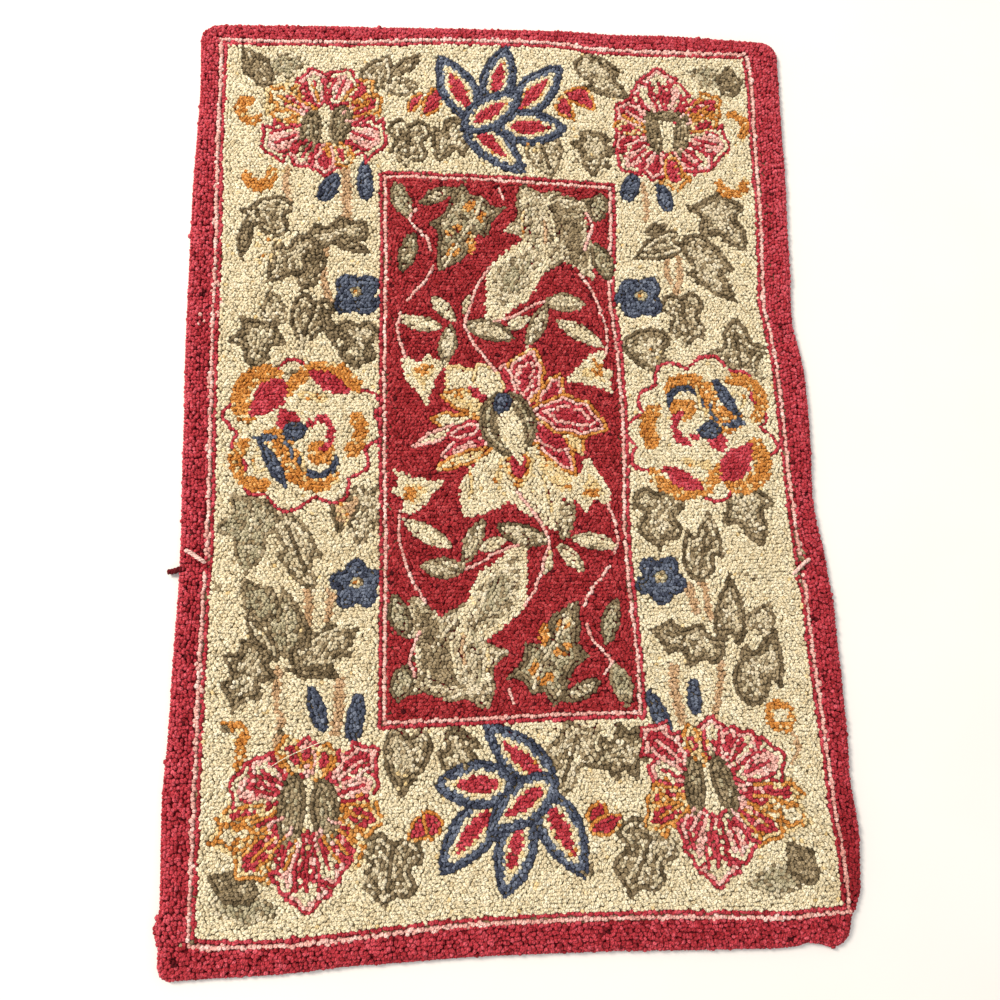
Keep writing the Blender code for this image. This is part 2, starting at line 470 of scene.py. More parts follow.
# %% Stems, with the leaves over them
STEMS = (  # width, then the stem's points
    (10, (-156, 306), (-154, 270), (-153, 236)), (7, (-174, 206), (-176, 178), (-170, 150)),
    (6, (-213, 296), (-214, 275), (-211, 256)), (7, (-186, -130), (-184, -150), (-188, -172)),
    (7, (-166, -132), (-165, -146), (-170, -160)), (9, (-157, -210), (-156, -232), (-160, -262)),
    (6, (-210, -200), (-212, -225), (-210, -240)), (6, (148, 285), (152, 262), (150, 240)),
    (7, (180, 210), (182, 185), (176, 160)), (6, (170, 204), (168, 188), (172, 172)),
    (8, (168, -130), (172, -145), (176, -160)), (7, (182, -128), (186, -145), (188, -165)),
    (9, (150, -206), (150, -232), (156, -262)), (6, (196, -196), (192, -232), (184, -262)),
    (7, (-206, -242), (-210, -262), (-212, -280)), (5, (258, -270), (262, -285), (254, -300)),
)
for width, *points in STEMS:
    line = easy_curve(points, closed=False)
    ahead = np.gradient(line, axis=0)
    side = np.stack([-ahead[:, 1], ahead[:, 0]], 1) / np.hypot(*ahead.T)[:, None] * width / 2
    shape(np.vstack([line + side, (line - side)[::-1]]), ("fawn", FILL), uneven=1.0)

for details in LEAVES:
    leaf(*details)
print(len(STEMS), "stems")

# %% Buds and pansies
BUDS = (  # middle, length, width, turn
    (-172, 272, 36, 19, 62), (-136, 280, 46, 17, 93), (136, 279, 38, 19, 70), (171, 268, 36, 16, 106),
    (-176, -238, 46, 15, 108), (-142, -246, 44, 17, 82), (134, -250, 46, 16, 114), (168, -236, 36, 14, 92),
)
for x, y, long, wide, turn in BUDS:
    shape(oval(x, y, long, wide, turn, waves=3, depth=0.1), ("navy", 3.0), ("slate", FILL), uneven=1.6)

PANSIES = ((-144, 158, 4, 42), (-142, -127, 5, 20), (140, 157, 4, 50), (143, -127, 5, -16))  # petals, turn
for x, y, lobes, turn in PANSIES:
    shape(oval(x, y, 52, 50, turn, waves=lobes, depth=0.32), ("navy", 3.6), ("slate", FILL), uneven=2.6)
    shape(oval(x, y + 2, 12, 10), ("olive", 2.4), ("straw", FILL), uneven=1.6)
shape(oval(-122, 150, 18, 12, 10), ("navy", FILL))
shape(oval(117, 156, 16, 12, 0), ("navy", FILL))
print(len(BUDS), "buds and", len(PANSIES), "pansies")

# %% Commas, hooks and corner leaves
COMMAS = (  # middle x and y, radius, thickness, from and to angle
    (-251, 358, 11, 12, 70, 330), (-241, 286, 13, 12, 165, 400), (250, 352, 13, 10, -70, 120),
    (244, 286, 13, 11, 160, 385), (-252, -262, 13, 9, -20, 130), (248, -255, 11, 8, 40, 400),
)
for x, y, radius, thick, start, end in COMMAS:
    shape(arc(x, y, radius, thick, start, end), ("gold", FILL), uneven=1.4)
shape(petal((-238, 352), (-226, 372), 9), ("straw", FILL))
shape(petal((-240, -254), (-244, -288), 9), ("gold", FILL), uneven=1.0)

HOOKS = (  # gold-edged red strokes: base, tip, width, bend
    ((-79, 354), (-60, 392), 17, -0.2), ((-92, 358), (-76, 382), 12, 0.2),
    ((66, 384), (104, 366), 20, 0.45), ((70, 386), (80, 354), 17, -0.3),
    ((-98, -352), (-66, -346), 19, 0.4), ((-74, -354), (-82, -326), 16, -0.3),
    ((66, -350), (78, -324), 17, 0.0), ((64, -350), (96, -338), 16, -0.1),
)
for base, tip, width, bend in HOOKS:
    shape(petal(base, tip, width, bend=bend), ("gold", 2.3), ("cherry", FILL), uneven=1.0)

CORNER_LEAVES = (  # dark lobe's base and tip, pale lobe's base and tip
    ((-232, 384), (-262, 430), (-240, 406), (-196, 414)), ((250, 386), (250, 424), (248, 404), (206, 414)),
    ((-224, -392), (-266, -376), (-264, -396), (-204, -406)),
    ((268, -402), (244, -366), (262, -396), (204, -400)),
)
for dark_base, dark_tip, pale_base, pale_tip in CORNER_LEAVES:
    shape(petal(pale_base, pale_tip, 27, belly=0.45, teeth=2), ("ash", 3.4), ("olive", FILL), uneven=2.0)
    shape(petal(dark_base, dark_tip, 28, belly=0.42, teeth=2), ("umber", 3.4), ("taupe", FILL), uneven=1.8)
print(len(COMMAS), "commas,", len(HOOKS), "hooks and", len(CORNER_LEAVES), "corner leaves")

# %% [markdown]
# ## Blue stars
#
# Each end of the field has a blue star of six pointed petals. They are the boldest thing on the rug: two
# rows of blue, one row of cream, one of pale straw, and a narrow red heart. Like most of the pattern, the
# second star is the first one turned half round: whichever end you stand at, the rug looks the same way up.

# %% Stars
STAR = (  # each petal's base, tip and width
    ((-22, 350), (-60, 428), 38), ((-8, 366), (13, 442), 35), ((12, 354), (70, 420), 37),
    ((-2, 346), (74, 344), 39), ((-38, 356), (28, 291), 36), ((-38, 340), (27, 386), 37),
)


def star():
    """The star at the field's far end."""
    for base, tip, width in STAR:
        shape(petal(base, tip, width, belly=0.44), ("navy", ROW), ("slate", 5.0), ("cream", 3.2),
              ("straw", 1.8), ("cherry", FILL), uneven=0.6)


half_turned(star)
print("two stars of", len(STAR), "petals")

# %% [markdown]
# ## Peonies
#
# A peony fills each corner of the field. Its ragged petals are pink and cream inside a wavy red line, with
# short red strokes that fan out from the heart. The outer ones are gold and straw. Two grey-green seed pods
# with a cream V between them make the middle.

# %% Peonies
PETAL_WOOLS = {  # a petal's bands and the wool of its strokes
    "rose": ((("cherry", 3.0), ("pink", 3.6), ("cream", FILL)), "cherry"),
    "red": ((("cherry", 3.4), ("pink", 3.2), ("cherry", FILL)), "pink"),
    "blush": ((("cherry", 3.0), ("cream", 3.8), ("pink", FILL)), "cherry"),
    "gold": ((("gold", 3.8), ("straw", 3.4), ("cherry", FILL)), "gold"),
    "straw": ((("straw", 4.2), ("gold", 3.2), ("cream", FILL)), "gold"),
}
STROKES = (-0.24, 0.0, 0.24)  # how far aside the strokes of a petal lie, as shares of its width
WIDE_PETAL = 33  # mm; a narrower petal has no stroke in the middle


def peony(x, y, petals, pods, gold_dot=None):
    """A peony. petals: tip x and y, width and wools of each; pods: middle x and y, length, width and turn."""
    shape(oval(x, y, 84, 84, 10, waves=7, depth=0.2), ("pink", 5.0), ("cherry", FILL), uneven=3.0)
    for tip_x, tip_y, width, wools in petals:
        base = np.array([x + (tip_x - x) * 0.18, y + (tip_y - y) * 0.18])
        along = np.array([tip_x, tip_y]) - base
        across = np.array([-along[1], along[0]]) / math.hypot(*along) * width
        bands, stroke = PETAL_WOOLS[wools]
        shape(petal(base, (tip_x, tip_y), width, belly=0.66, teeth=4, bite=0.24), *bands, uneven=1.4)
        for side in STROKES[:: 1 if width > WIDE_PETAL else 2]:
            start, end = base + along * 0.30 + across * side * 0.7, base + along * 0.74 + across * side
            bow = (start + end) / 2 + across * side * 0.25
            row(stroke, start, bow, end)
    shape(oval(x, y - 2, 46, 30, 90, waves=3), ("cream", FILL))
    for pod_x, pod_y, long, wide, turn in pods:
        shape(oval(pod_x, pod_y, long, wide, turn, waves=2, depth=0.12), ("umber", ROW), ("taupe", 4.0),
              ("olive", FILL), shade=(90, 2.0), uneven=2.4)
        row("taupe", *(turned([(-0.3 * long, 1), (0.0, -1), (0.3 * long, 1)], turn) + (pod_x, pod_y)))
    if gold_dot:
        shape(oval(*gold_dot, 12, 10), ("gold", FILL))


peony(-177, 344, (
    (-238, 384, 36, "straw"), (-204, 396, 32, "gold"), (-118, 376, 34, "gold"), (-128, 396, 28, "gold"),
    (-192, 408, 34, "rose"), (-152, 408, 36, "blush"), (-218, 374, 26, "red"), (-238, 356, 26, "straw"),
    (-240, 314, 46, "blush"), (-114, 322, 50, "blush"), (-134, 362, 26, "red"), (-206, 294, 34, "rose"),
    (-176, 284, 32, "red"), (-152, 294, 26, "gold"),
), ((-191, 335, 50, 25, 86), (-161, 344, 46, 25, 80)), (-173, 316))
peony(176, 342, (
    (240, 386, 34, "gold"), (226, 378, 28, "red"), (236, 358, 26, "gold"), (172, 420, 40, "rose"),
    (194, 404, 32, "blush"), (150, 404, 26, "rose"), (124, 374, 36, "red"), (120, 350, 26, "gold"),
    (120, 322, 40, "red"), (126, 298, 36, "blush"), (246, 326, 46, "blush"), (224, 300, 34, "rose"),
    (186, 274, 32, "gold"), (206, 296, 26, "red"), (158, 286, 30, "red"),
), ((164, 343, 52, 18, 98), (194, 341, 54, 19, 80), (180, 362, 34, 15, 0)))
peony(-184, -318, (
    (-268, -348, 32, "straw"), (-262, -330, 26, "gold"), (-244, -378, 34, "gold"),
    (-216, -384, 28, "straw"), (-252, -298, 44, "blush"), (-234, -280, 34, "rose"),
    (-204, -258, 26, "gold"), (-184, -260, 24, "red"), (-164, -266, 26, "gold"), (-122, -272, 34, "red"),
    (-120, -300, 38, "blush"), (-116, -336, 34, "gold"), (-138, -374, 34, "gold"), (-182, -410, 40, "rose"),
    (-202, -394, 32, "blush"), (-158, -388, 34, "rose"), (-150, -356, 28, "red"), (-222, -352, 32, "red"),
), ((-197, -322, 62, 27, 86), (-168, -324, 54, 27, 97)))
peony(180, -316, (
    (270, -350, 32, "straw"), (266, -326, 26, "gold"), (242, -362, 36, "gold"), (250, -290, 44, "blush"),
    (222, -268, 34, "rose"), (232, -328, 30, "red"), (182, -252, 28, "rose"), (204, -262, 26, "red"),
    (158, -260, 24, "gold"), (116, -262, 38, "red"), (120, -296, 36, "rose"), (116, -326, 28, "gold"),
    (114, -348, 34, "gold"), (150, -364, 34, "red"), (180, -404, 38, "rose"), (160, -386, 28, "blush"),
    (206, -384, 34, "blush"), (222, -352, 30, "red"),
), ((163, -314, 54, 22, 92), (190, -314, 56, 23, 106)))
print(len(shapes), "shapes after the four peonies")

# %% [markdown]
# ## Roses
#
# A wide cream rose lies at each side, and the right-hand one is again the left-hand one turned half round.
# Gold arcs with red hearts edge it on one side, and a wavy single row of red on the other.

# %% Roses
RUFFLE_POINTS = 72


def ruffled(x, y, radius, ruffles, depth, turn):
    """A ring with uneven ruffles, as a petal's edge is drawn by hand."""
    a = np.linspace(0.0, 2 * np.pi, RUFFLE_POINTS, endpoint=False)
    r = radius * (1 - depth * (1 - np.abs(np.cos(ruffles * a / 2 + 0.5 * np.sin(2 * a)))))
    r = r * (1 + 0.05 * np.sin(3 * a + turn) + 0.04 * np.sin(5 * a))
    return np.stack([r * np.cos(a), r * np.sin(a)], 1) + (x, y)


ROSE_ARCS = (  # wool, middle x and y, radius, thickness, from and to angle
    ("gold", -174, 48, 34, 14, 12, 172), ("gold", -228, 52, 24, 18, 52, 246),
    ("gold", -164, 18, 25, 15, -64, 50), ("gold", -232, -10, 23, 13, 118, 300),
    ("gold", -180, -14, 19, 14, 205, 345), ("straw", -192, 8, 46, 8, 62, 100),
)
ROSE_PATCHES = (  # gold ones: middle x and y, length, width, turn, scallops
    (-218, 8, 36, 30, 20, 3), (-202, -14, 34, 20, 84, 0), (-176, -2, 26, 26, 0, 2),
)


def rose():
    """The left rose: the cream flower with its red edge, then its arcs, hearts and blue lines."""
    shape(ruffled(-193, 17, 76, 11, 0.16, 0.6), ("cherry", 3.6), ("cream", FILL), uneven=0.3)
    for wool, *place in ROSE_ARCS:
        shape(arc(*place), (wool, FILL), uneven=1.2)
    shape(petal((-244, 32), (-210, 70), 26, belly=0.6), ("cherry", FILL), uneven=1.4)
    shape(petal((-190, 80), (-150, 56), 16, belly=0.5), ("cherry", FILL), uneven=1.2)
    for x, y, long, wide, turn, waves in ROSE_PATCHES:
        shape(oval(x, y, long, wide, turn, waves), ("gold", FILL), uneven=1.4)
    shape(petal((-214, 40), (-200, 18), 18), ("cherry", FILL), uneven=1.0)
    shape(arc(-183, 16, 17, 8, -70, 86), ("cherry", FILL), uneven=0.8)
    shape(oval(-186, 27, 10, 8), ("cherry", FILL))
    shape(oval(-232, -12, 19, 16, 110), ("straw", 3.4), ("cream", FILL), uneven=1.0)
    shape(petal((-236, 14), (-208, -34), 12, belly=0.6), ("navy", 3.0), ("slate", FILL), uneven=1.4)
    shape(oval(-201, 19, 24, 19, 20, waves=3), ("navy", 3.0), ("slate", FILL), uneven=1.6)
    shape(arc(-178, -8, 16, 6, 150, 378), ("navy", 2.6), ("slate", FILL), uneven=1.2)
    shape(petal((-240, 12), (-214, 14), 7), ("slate", FILL))
    row("slate", (-210, 10), (-204, 2), (-203, -8))
    row("straw", (-193, -2), (-192, -14), (-190, -26))


half_turned(rose)
print(len(shapes), "shapes after the roses")

# %% [markdown]
# ## The red panel
#
# The panel looks the same from either end, so one end is drawn and turned half round: a large pale leaf
# with a cream lobe, an olive leaf with gold patches, sprigs of narrow leaves, and bell flowers on fine pink
# vines.

# %% Panel ground and its large leaves
shape(easy_curve(PANEL, step=GUARD_STEP), ("cherry", 3.6), ("pink", GUARD), ("crimson", FILL), uneven=0.2)

MAPLE = [
    (0.0, 0.05), (0.06, 0.30), (0.0, 0.52), (0.0, 0.52), (0.24, 0.42), (0.40, 0.50), (0.40, 0.50),
    (0.48, 0.26), (0.74, 0.30), (1.0, 0.02), (1.0, 0.02), (0.78, -0.16), (0.62, -0.28), (0.56, -0.52),
    (0.56, -0.52), (0.38, -0.36), (0.16, -0.40), (-0.04, -0.34), (-0.04, -0.34), (0.05, -0.12),
]


def lobed(x, y, long, wide, tip):
    """A maple-like leaf, by its middle, its size and where its tip points."""
    return turned(easy_curve([((a - 0.5) * long, b * wide) for a, b in MAPLE]), tip) + (x, y)


GOLD_PATCHES = (  # base, tip, width
    ((-56, 222), (-38, 234), 10), ((-54, 196), (-42, 214), 10), ((-30, 202), (-30, 228), 9),
    ((-20, 236), (-22, 256), 9), ((-38, 248), (-26, 260), 8),
)


def panel_leaves():
    """The large leaves of the panel's far end, with their veins."""
    shape(lobed(47, 228, 92, 88, 262), ("taupe", 2.4), ("ash", FILL), shade=(30, 1.6), uneven=1.8)
    shape(petal((52, 268), (92, 174), 40, belly=0.4, teeth=3), ("ash", 6.0), ("taupe", FILL), uneven=2.2)
    shape(petal((46, 218), (-14, 126), 50, bend=-0.14, belly=0.42, teeth=2, bite=0.08), ("cream", 8.0),
          ("ash", FILL), uneven=2.4)
    shape(petal((22, 196), (2, 160), 16, belly=0.5), ("olive", FILL), uneven=1.4)
    row("olive", (30, 204), (26, 190), (18, 174), (12, 160))
    row("olive", (36, 206), (32, 226), (30, 246), (32, 260))
    row("taupe", (48, 200), (60, 216), (64, 236))
    row("cream", (56, 214), (54, 234), (50, 252))
    row("straw", (24, 222), (22, 236), (24, 250))
    row("fawn", (44, 214), (46, 226), (44, 240))
    shape(lobed(-43, 226, 96, 60, 242), ("umber", 3.2), ("taupe", 4.6), ("olive", FILL),
          shade=(200, 1.6), uneven=2.0)
    for base, tip, width in GOLD_PATCHES:
        shape(petal(base, tip, width), ("gold", FILL), uneven=1.2)
    row("ash", (-58, 186), (-48, 206), (-36, 226), (-24, 246), (-18, 264))
    row("umber", (-52, 232), (-42, 222), (-36, 212))
    row("umber", (-24, 224), (-30, 236), (-40, 244))


half_turned(panel_leaves)
print(len(rows), "single rows after the large leaves")

# %% Small leaves, sprigs, vines and bells of the panel
SMALL_LEAVES = (  # base, tip, width, outline wool and fill wool
    ((-92, 240), (-106, 282), 17, "taupe", "olive"), ((-82, 256), (-44, 274), 14, "umber", "ash"),
    ((-88, 226), (-100, 182), 16, "umber", "olive"), ((50, 264), (94, 250), 15, "taupe", "ash"),
    ((98, 238), (106, 272), 19, "umber", "olive"), ((95, 216), (108, 174), 18, "umber", "olive"),
    ((-46, 130), (-70, 158), 13, "ash", "cream"), ((-58, 124), (-104, 134), 14, "ash", "cream"),
    ((-52, 128), (-60, 86), 16, "taupe", "ash"), ((-40, 128), (12, 112), 19, "umber", "ash"),
    ((-38, 134), (-30, 160), 10, "ash", "cream"),
)
OTHER_SMALL_LEAVES = (  # on the bell's own stem at the right
    ((40, 152), (84, 148), 18, "taupe", "ash"), ((44, 150), (22, 104), 15, "taupe", "ash"),
    ((52, 132), (100, 104), 15, "ash", "cream"), ((28, 136), (2, 124), 11, "ash", "cream"),
)
VINES = (  # points of each fine pink line
    ((-12, 188), (-22, 174), (-29, 158), (-33, 142), (-38, 129), (-30, 108), (-18, 92), (-8, 78)),
    ((-68, 190), (-76, 174), (-86, 162), (-96, 150)), ((-100, 140), (-104, 126), (-101, 108), (-96, 92)),
    ((-70, 204), (-74, 218), (-84, 230), (-92, 240), (-84, 252)),
    ((78, 184), (90, 164), (98, 142), (103, 122), (102, 96)), ((88, 250), (94, 234), (88, 218), (84, 208)),
    ((-10, 130), (10, 136), (30, 148), (42, 152)), ((0, 276), (4, 262)),
)
BELLS = ((-78, 72, 28, 4), (84, 76, 27, -72))  # middle x and y, size, turn
BELL = [
    (0.0, -1.0), (0.0, -1.0), (0.3, -0.3), (0.62, 0.2), (1.0, 0.62), (1.0, 0.62), (0.5, 0.6), (0.2, 0.96),
    (0.2, 0.96), (-0.14, 0.62), (-0.66, 0.9), (-0.66, 0.9), (-0.72, 0.3), (-0.42, -0.3),
]


def sprigs():
    """The small leaves, vines and bells of the panel's far end."""
    for base, tip, width, edge, fill in SMALL_LEAVES + OTHER_SMALL_LEAVES:
        shape(petal(base, tip, width, bend=0.08), (edge, 2.4), (fill, FILL), shade=(250, 1.2), uneven=0.9)
    for points in VINES:
        row("pink", *points)
    for x, y, size, turn in BELLS:
        shape(turned(easy_curve(np.array(BELL) * size), turn) + (x, y), ("cream", 7.0), ("straw", FILL),
              uneven=0.8)
        shape(turned(oval(-2, 9, 15, 11), turn) + (x, y), ("gold", FILL), uneven=1.2)


half_turned(sprigs)
print(len(SMALL_LEAVES + OTHER_SMALL_LEAVES), "small leaves and", len(VINES), "vines at each end")

# %% [markdown]
# ## The flower in the middle
#
# It is seen from the side: cream petals spread below a grey pod with a blue bud, pink and red ones curl up
# behind it, and on the right an almond petal is worked row inside row in gold, pink and red.

# %% Middle flower
MIDDLE_PETALS = (  # base, tip, width, belly, bend and bands, the hindmost first
    ((16, 40), (30, 104), 40, 0.5, 0.1,
     (("gold", 2.4), ("pink", 4.4), ("cherry", 3.2), ("pink", 3.4), ("cherry", FILL))),
    ((4, 42), (-2, 88), 20, 0.5, 0.0, (("pink", 3.2), ("cherry", FILL))),
    ((28, 40), (56, 78), 22, 0.5, -0.2, (("gold", 2.4), ("pink", 3.2), ("cherry", FILL))),
    ((-2, 36), (-56, 86), 42, 0.58, 0.2, (("straw", 5.0), ("cream", FILL))),
    ((-4, 42), (-26, 88), 30, 0.55, 0.0, (("straw", 3.4), ("cream", FILL))),
    ((-8, 30), (-64, 56), 24, 0.55, -0.2, (("gold", 2.8), ("straw", FILL))),
    ((0, 20), (-42, -66), 46, 0.6, 0.16, (("cream", FILL),)),
    ((4, 20), (-10, -54), 40, 0.6, 0.0, (("cream", 12.0), ("straw", FILL))),
    ((10, 20), (16, -62), 40, 0.6, 0.0, (("cream", 12.0), ("straw", FILL))),
    ((14, 20), (44, -78), 42, 0.62, -0.1, (("cream", FILL),)),
    ((12, 8), (68, -50), 40, 0.6, 0.1, (("cream", 9.0), ("straw", FILL))),
    ((-18, 30), (-74, 32), 20, 0.55, 0.2, (("gold", 2.8), ("cream", FILL))),
    ((-26, 24), (-92, 2), 13, 0.5, -0.3, (("pink", 2.6), ("cream", FILL))),
    ((-16, 10), (-64, -6), 22, 0.5, 0.0, (("pink", 3.4), ("cherry", 3.0), ("pink", FILL))),
    ((-16, 26), (-60, 12), 19, 0.5, 0.0, (("cherry", 3.0), ("pink", 3.0), ("cherry", FILL))),
    ((-12, 2), (-72, -20), 15, 0.5, 0.0, (("gold", 3.2), ("straw", FILL))),
    ((24, 12), (68, -26), 24, 0.5, 0.2, (("gold", 3.2), ("pink", 3.2), ("cherry", FILL))),
    ((22, 26), (68, 0), 26, 0.5, 0.0, (("pink", 3.2), ("cherry", FILL))),
    ((56, 36), (74, -8), 20, 0.5, 0.0, (("gold", 3.6), ("straw", FILL))),
    ((22, 40), (101, 20), 42, 0.5, 0.1,
     (("gold", 3.6), ("pink", 3.4), ("cherry", 3.2), ("pink", 3.2), ("cherry", FILL))),
    ((10, 4), (12, -38), 30, 0.42, 0.0, (("straw", 2.8), ("gold", 3.6), ("cherry", FILL))),
    ((-12, 44), (-36, 64), 9, 0.5, 0.0, (("cherry", FILL),)),
)
for base, tip, width, belly, bend, bands in MIDDLE_PETALS:
    shape(petal(base, tip, width, belly=belly, bend=bend, teeth=3, bite=0.08), *bands, uneven=0.9)
row("straw", (-36, -16), (-34, -34), (-38, -48))
row("straw", (34, -24), (38, -44), (42, -62))
shape(oval(2, 26, 66, 56, 105), ("umber", 3.2), ("taupe", 4.0), ("olive", 3.6), ("umber", 2.6),
      ("taupe", FILL), uneven=1.2)
shape(petal((14, -14), (-2, 46), 22, belly=0.55), ("cream", FILL))
shape(oval(-3, 47, 22, 18, 60, waves=2), ("navy", 2.6), ("slate", FILL), uneven=1.2)
print(len(shapes), "shapes and", len(rows), "single rows drawn")

# %% [markdown]
# ## Which wool where
#
# Any place on the cloth can now be asked for its wool. The last shape drawn over it decides, and inside
# that shape the distance to its outline says which band it is in. The distance is let wander a little,
# because a loop is never set exactly on the pencil line.

# %% Wool at a place
def inside(outline, places):
    """Which places lie inside an outline, counted by how often a line to the right crosses it."""
    x, y = places[:, 0:1], places[:, 1:2]
    x0, y0 = outline[:, 0], outline[:, 1]
    x1, y1 = np.roll(x0, -1), np.roll(y0, -1)
    rise = np.where(y1 == y0, 1e-9, y1 - y0)
    crossed = ((y0 > y) != (y1 > y)) & (x < (x1 - x0) * (y - y0) / rise + x0)
    return crossed.sum(1) % 2 == 1


def edge_distance(outline, places):
    """How far each place is from an outline."""
    start, along = outline, np.roll(outline, -1, axis=0) - outline
    length = np.maximum((along ** 2).sum(1), 1e-9)
    gap = places[:, None, :] - start[None]
    t = np.clip((gap * along).sum(2) / length, 0, 1)
    return np.sqrt(((gap - t[..., None] * along) ** 2).sum(2).min(1))


def in_batches(ask, outline, places, most):
    """Asks inside or edge_distance about many places, but at most so many at a time."""
    return np.concatenate([ask(outline, part) for part in np.array_split(places, len(places) // most + 1)])


CROSSING_WAVES = 4


def wander(places, size, seed):
    """A smooth unevenness from -1 to 1, which changes over about size mm."""
    x, y = places[:, 0] / size, places[:, 1] / size
    total = np.zeros(len(places))
    for i in range(CROSSING_WAVES):
        a = seed * 1.7 + i * 2.4
        finer = 1 + 0.3 * i
        total += np.sin(x * math.cos(a) * finer * 6.28 + y * math.sin(a) * finer * 6.28 + seed * i)
    return total / CROSSING_WAVES


BAND_WANDERS_OVER = 11.0  # mm over which a band's edge wanders in and out
INSIDE_AT_ONCE, DISTANCE_AT_ONCE = 4000, 1500  # places, so that the tables stay small


def wool_at(places, loose=1.0):
    """The wool of each place, as its number in WOOLS, and the number of the shape that it belongs to."""
    wool = np.full(len(places), WOOLS.index("cherry"))
    owner = np.full(len(places), -1)
    for number, one in enumerate(shapes):
        outline = one["outline"]
        near = np.flatnonzero(((places >= outline.min(0)) & (places <= outline.max(0))).all(1))
        near = near[in_batches(inside, outline, places[near], INSIDE_AT_ONCE)]
        if not len(near):
            continue
        here = places[near]
        depth = in_batches(edge_distance, outline, here, DISTANCE_AT_ONCE)
        if one["shade"]:
            a = math.radians(one["shade"][0])
            middle, reach = outline.mean(0), np.ptp(outline, axis=0).max() / 2
            depth = depth - one["shade"][1] * ((here - middle) @ (math.cos(a), math.sin(a))) / reach
        depth = depth + loose * one["uneven"] * wander(here, BAND_WANDERS_OVER, number)
        limits = np.cumsum([width for _, width in one["bands"]])
        band = np.minimum(np.searchsorted(limits, depth), len(limits) - 1)
        wool[near] = np.array([WOOLS.index(name) for name, _ in one["bands"]])[band]
        owner[near] = number
    return wool, owner


print("in the middle:", WOOLS[wool_at(np.zeros((1, 2)))[0][0]])

# %% [markdown]
# ## The hooking plan: the rows
#
# A hooker works the outlines and single lines first, then fills. The plan does the same. Loops are set at
# an even pitch along every single row and along the outline of every shape, and the border is worked in
# rows that follow the rug's edge. Where two rows meet, the one that was hooked first keeps its loops.

# %% Places along a line
PITCH = 3.42  # mm from one loop to the next
CLOSEST = 0.80 * PITCH  # a row leaves out a loop that would stand nearer than this to another
DRAWN_IN = 0.9965  # hooking draws the cloth, and the pattern with it, in by a third of a percent
PATTERN_MIDDLE = np.array([-2.2, -3.2])  # the pattern's own middle, in mm from the middle of the rug's box
LOOK_MM = 0.8  # a line's direction at a loop is taken from so far behind it to so far ahead
edge_line = (low_ring / MM - PATTERN_MIDDLE) / DRAWN_IN


def on_cloth(drawn):
    """Where places of the pencilled pattern, in mm, lie on the hooked rug, in metres."""
    return (drawn * DRAWN_IN + PATTERN_MIDDLE) * MM


def spaced(line, pitch, closed):
    """Places at an even pitch along a line, and the direction of the line at each of them."""
    line = np.vstack([line, line[:1]]) if closed else line
    run = np.concatenate([[0.0], np.cumsum(np.hypot(*np.diff(line, axis=0).T))])
    count = max(round(run[-1] / pitch), 1)
    at = (np.arange(count) + 0.5) * run[-1] / count
    behind, places, ahead = (
        np.stack([np.interp(at + step, run, line[:, k]) for k in (0, 1)], 1)
        for step in (-LOOK_MM, 0.0, LOOK_MM)
    )
    return places, np.arctan2(*(ahead - behind).T[::-1])


def moved_in(outline, inset):
    """An outline with each of its points moved inwards, square to the line."""
    before, after = np.roll(outline, 1, axis=0), np.roll(outline, -1, axis=0)
    ahead = after - before
    size = np.maximum(np.hypot(*ahead.T), 1e-6)[:, None]
    turn = np.sign((outline[:, 0] * after[:, 1] - after[:, 0] * outline[:, 1]).sum())
    return outline + turn * inset * np.stack([-ahead[:, 1], ahead[:, 0]], 1) / size


print("edge", round(np.hypot(*(np.roll(edge_line, -1, axis=0) - edge_line).T).sum() / 1000, 2), "m round")

# %% Rows of loops
SINGLE_PITCH = 0.92 * PITCH
GUARD_PITCH = 1.04 * PITCH
BORDER_PITCH = 0.95 * PITCH  # from one row of the border to the next
GUARD_SIZE, OUTLINE_SIZE = 1.1, 1.04  # their loops are a little larger than others
ONE_ROW = (0.6 * PITCH, 1.36 * PITCH)  # a band between these widths is hooked as a single row
OUTLINE_SLACK, BORDER_SLACK = 0.5, 0.4  # mm; a moved-in line that comes nearer to its outline has folded over
BORDER_ROWS = 9
EDGE_INSET = 1.3  # mm from the rug's edge to its first row
row_places, row_angles, row_wools, row_sizes = [], [], [], []
taken = {}


def set_row(places, angles, wools, size=1.0):
    """Adds loops to the plan where no earlier row is in the way."""
    for (x, y), angle, wool in zip(places, angles, wools):
        cell = (int(x // CLOSEST), int(y // CLOSEST))
        near = [p for i in (-1, 0, 1) for j in (-1, 0, 1) for p in taken.get((cell[0] + i, cell[1] + j), ())]
        if all((x - px) ** 2 + (y - py) ** 2 >= CLOSEST ** 2 for px, py in near):
            taken.setdefault(cell, []).append((x, y))
            row_places.append((x, y))
            row_angles.append(angle)
            row_wools.append(wool)
            row_sizes.append(size)


for wool, line in rows:
    places, angles = spaced(line, SINGLE_PITCH, closed=False)
    set_row(places, angles, [WOOLS.index(wool)] * len(places))
single_loops = len(row_places)

for number in range(len(shapes) - 1, -1, -1):
    one = shapes[number]
    started = 0.0
    for wool, width in one["bands"][:2]:
        if not ONE_ROW[0] <= width <= ONE_ROW[1]:
            break
        inset = started + width / 2
        started += width
        pitch, size = (GUARD_PITCH, GUARD_SIZE) if width == GUARD else (PITCH, OUTLINE_SIZE)
        places, angles = spaced(moved_in(one["outline"], inset), pitch, closed=True)
        found, owner = wool_at(places, loose=0.3)
        keep = (owner == number) & (edge_distance(one["outline"], places) > inset - OUTLINE_SLACK)
        found = found if one["shade"] else np.full(len(places), WOOLS.index(wool))
        set_row(places[keep], angles[keep], found[keep], size)
outline_loops = len(row_places) - single_loops

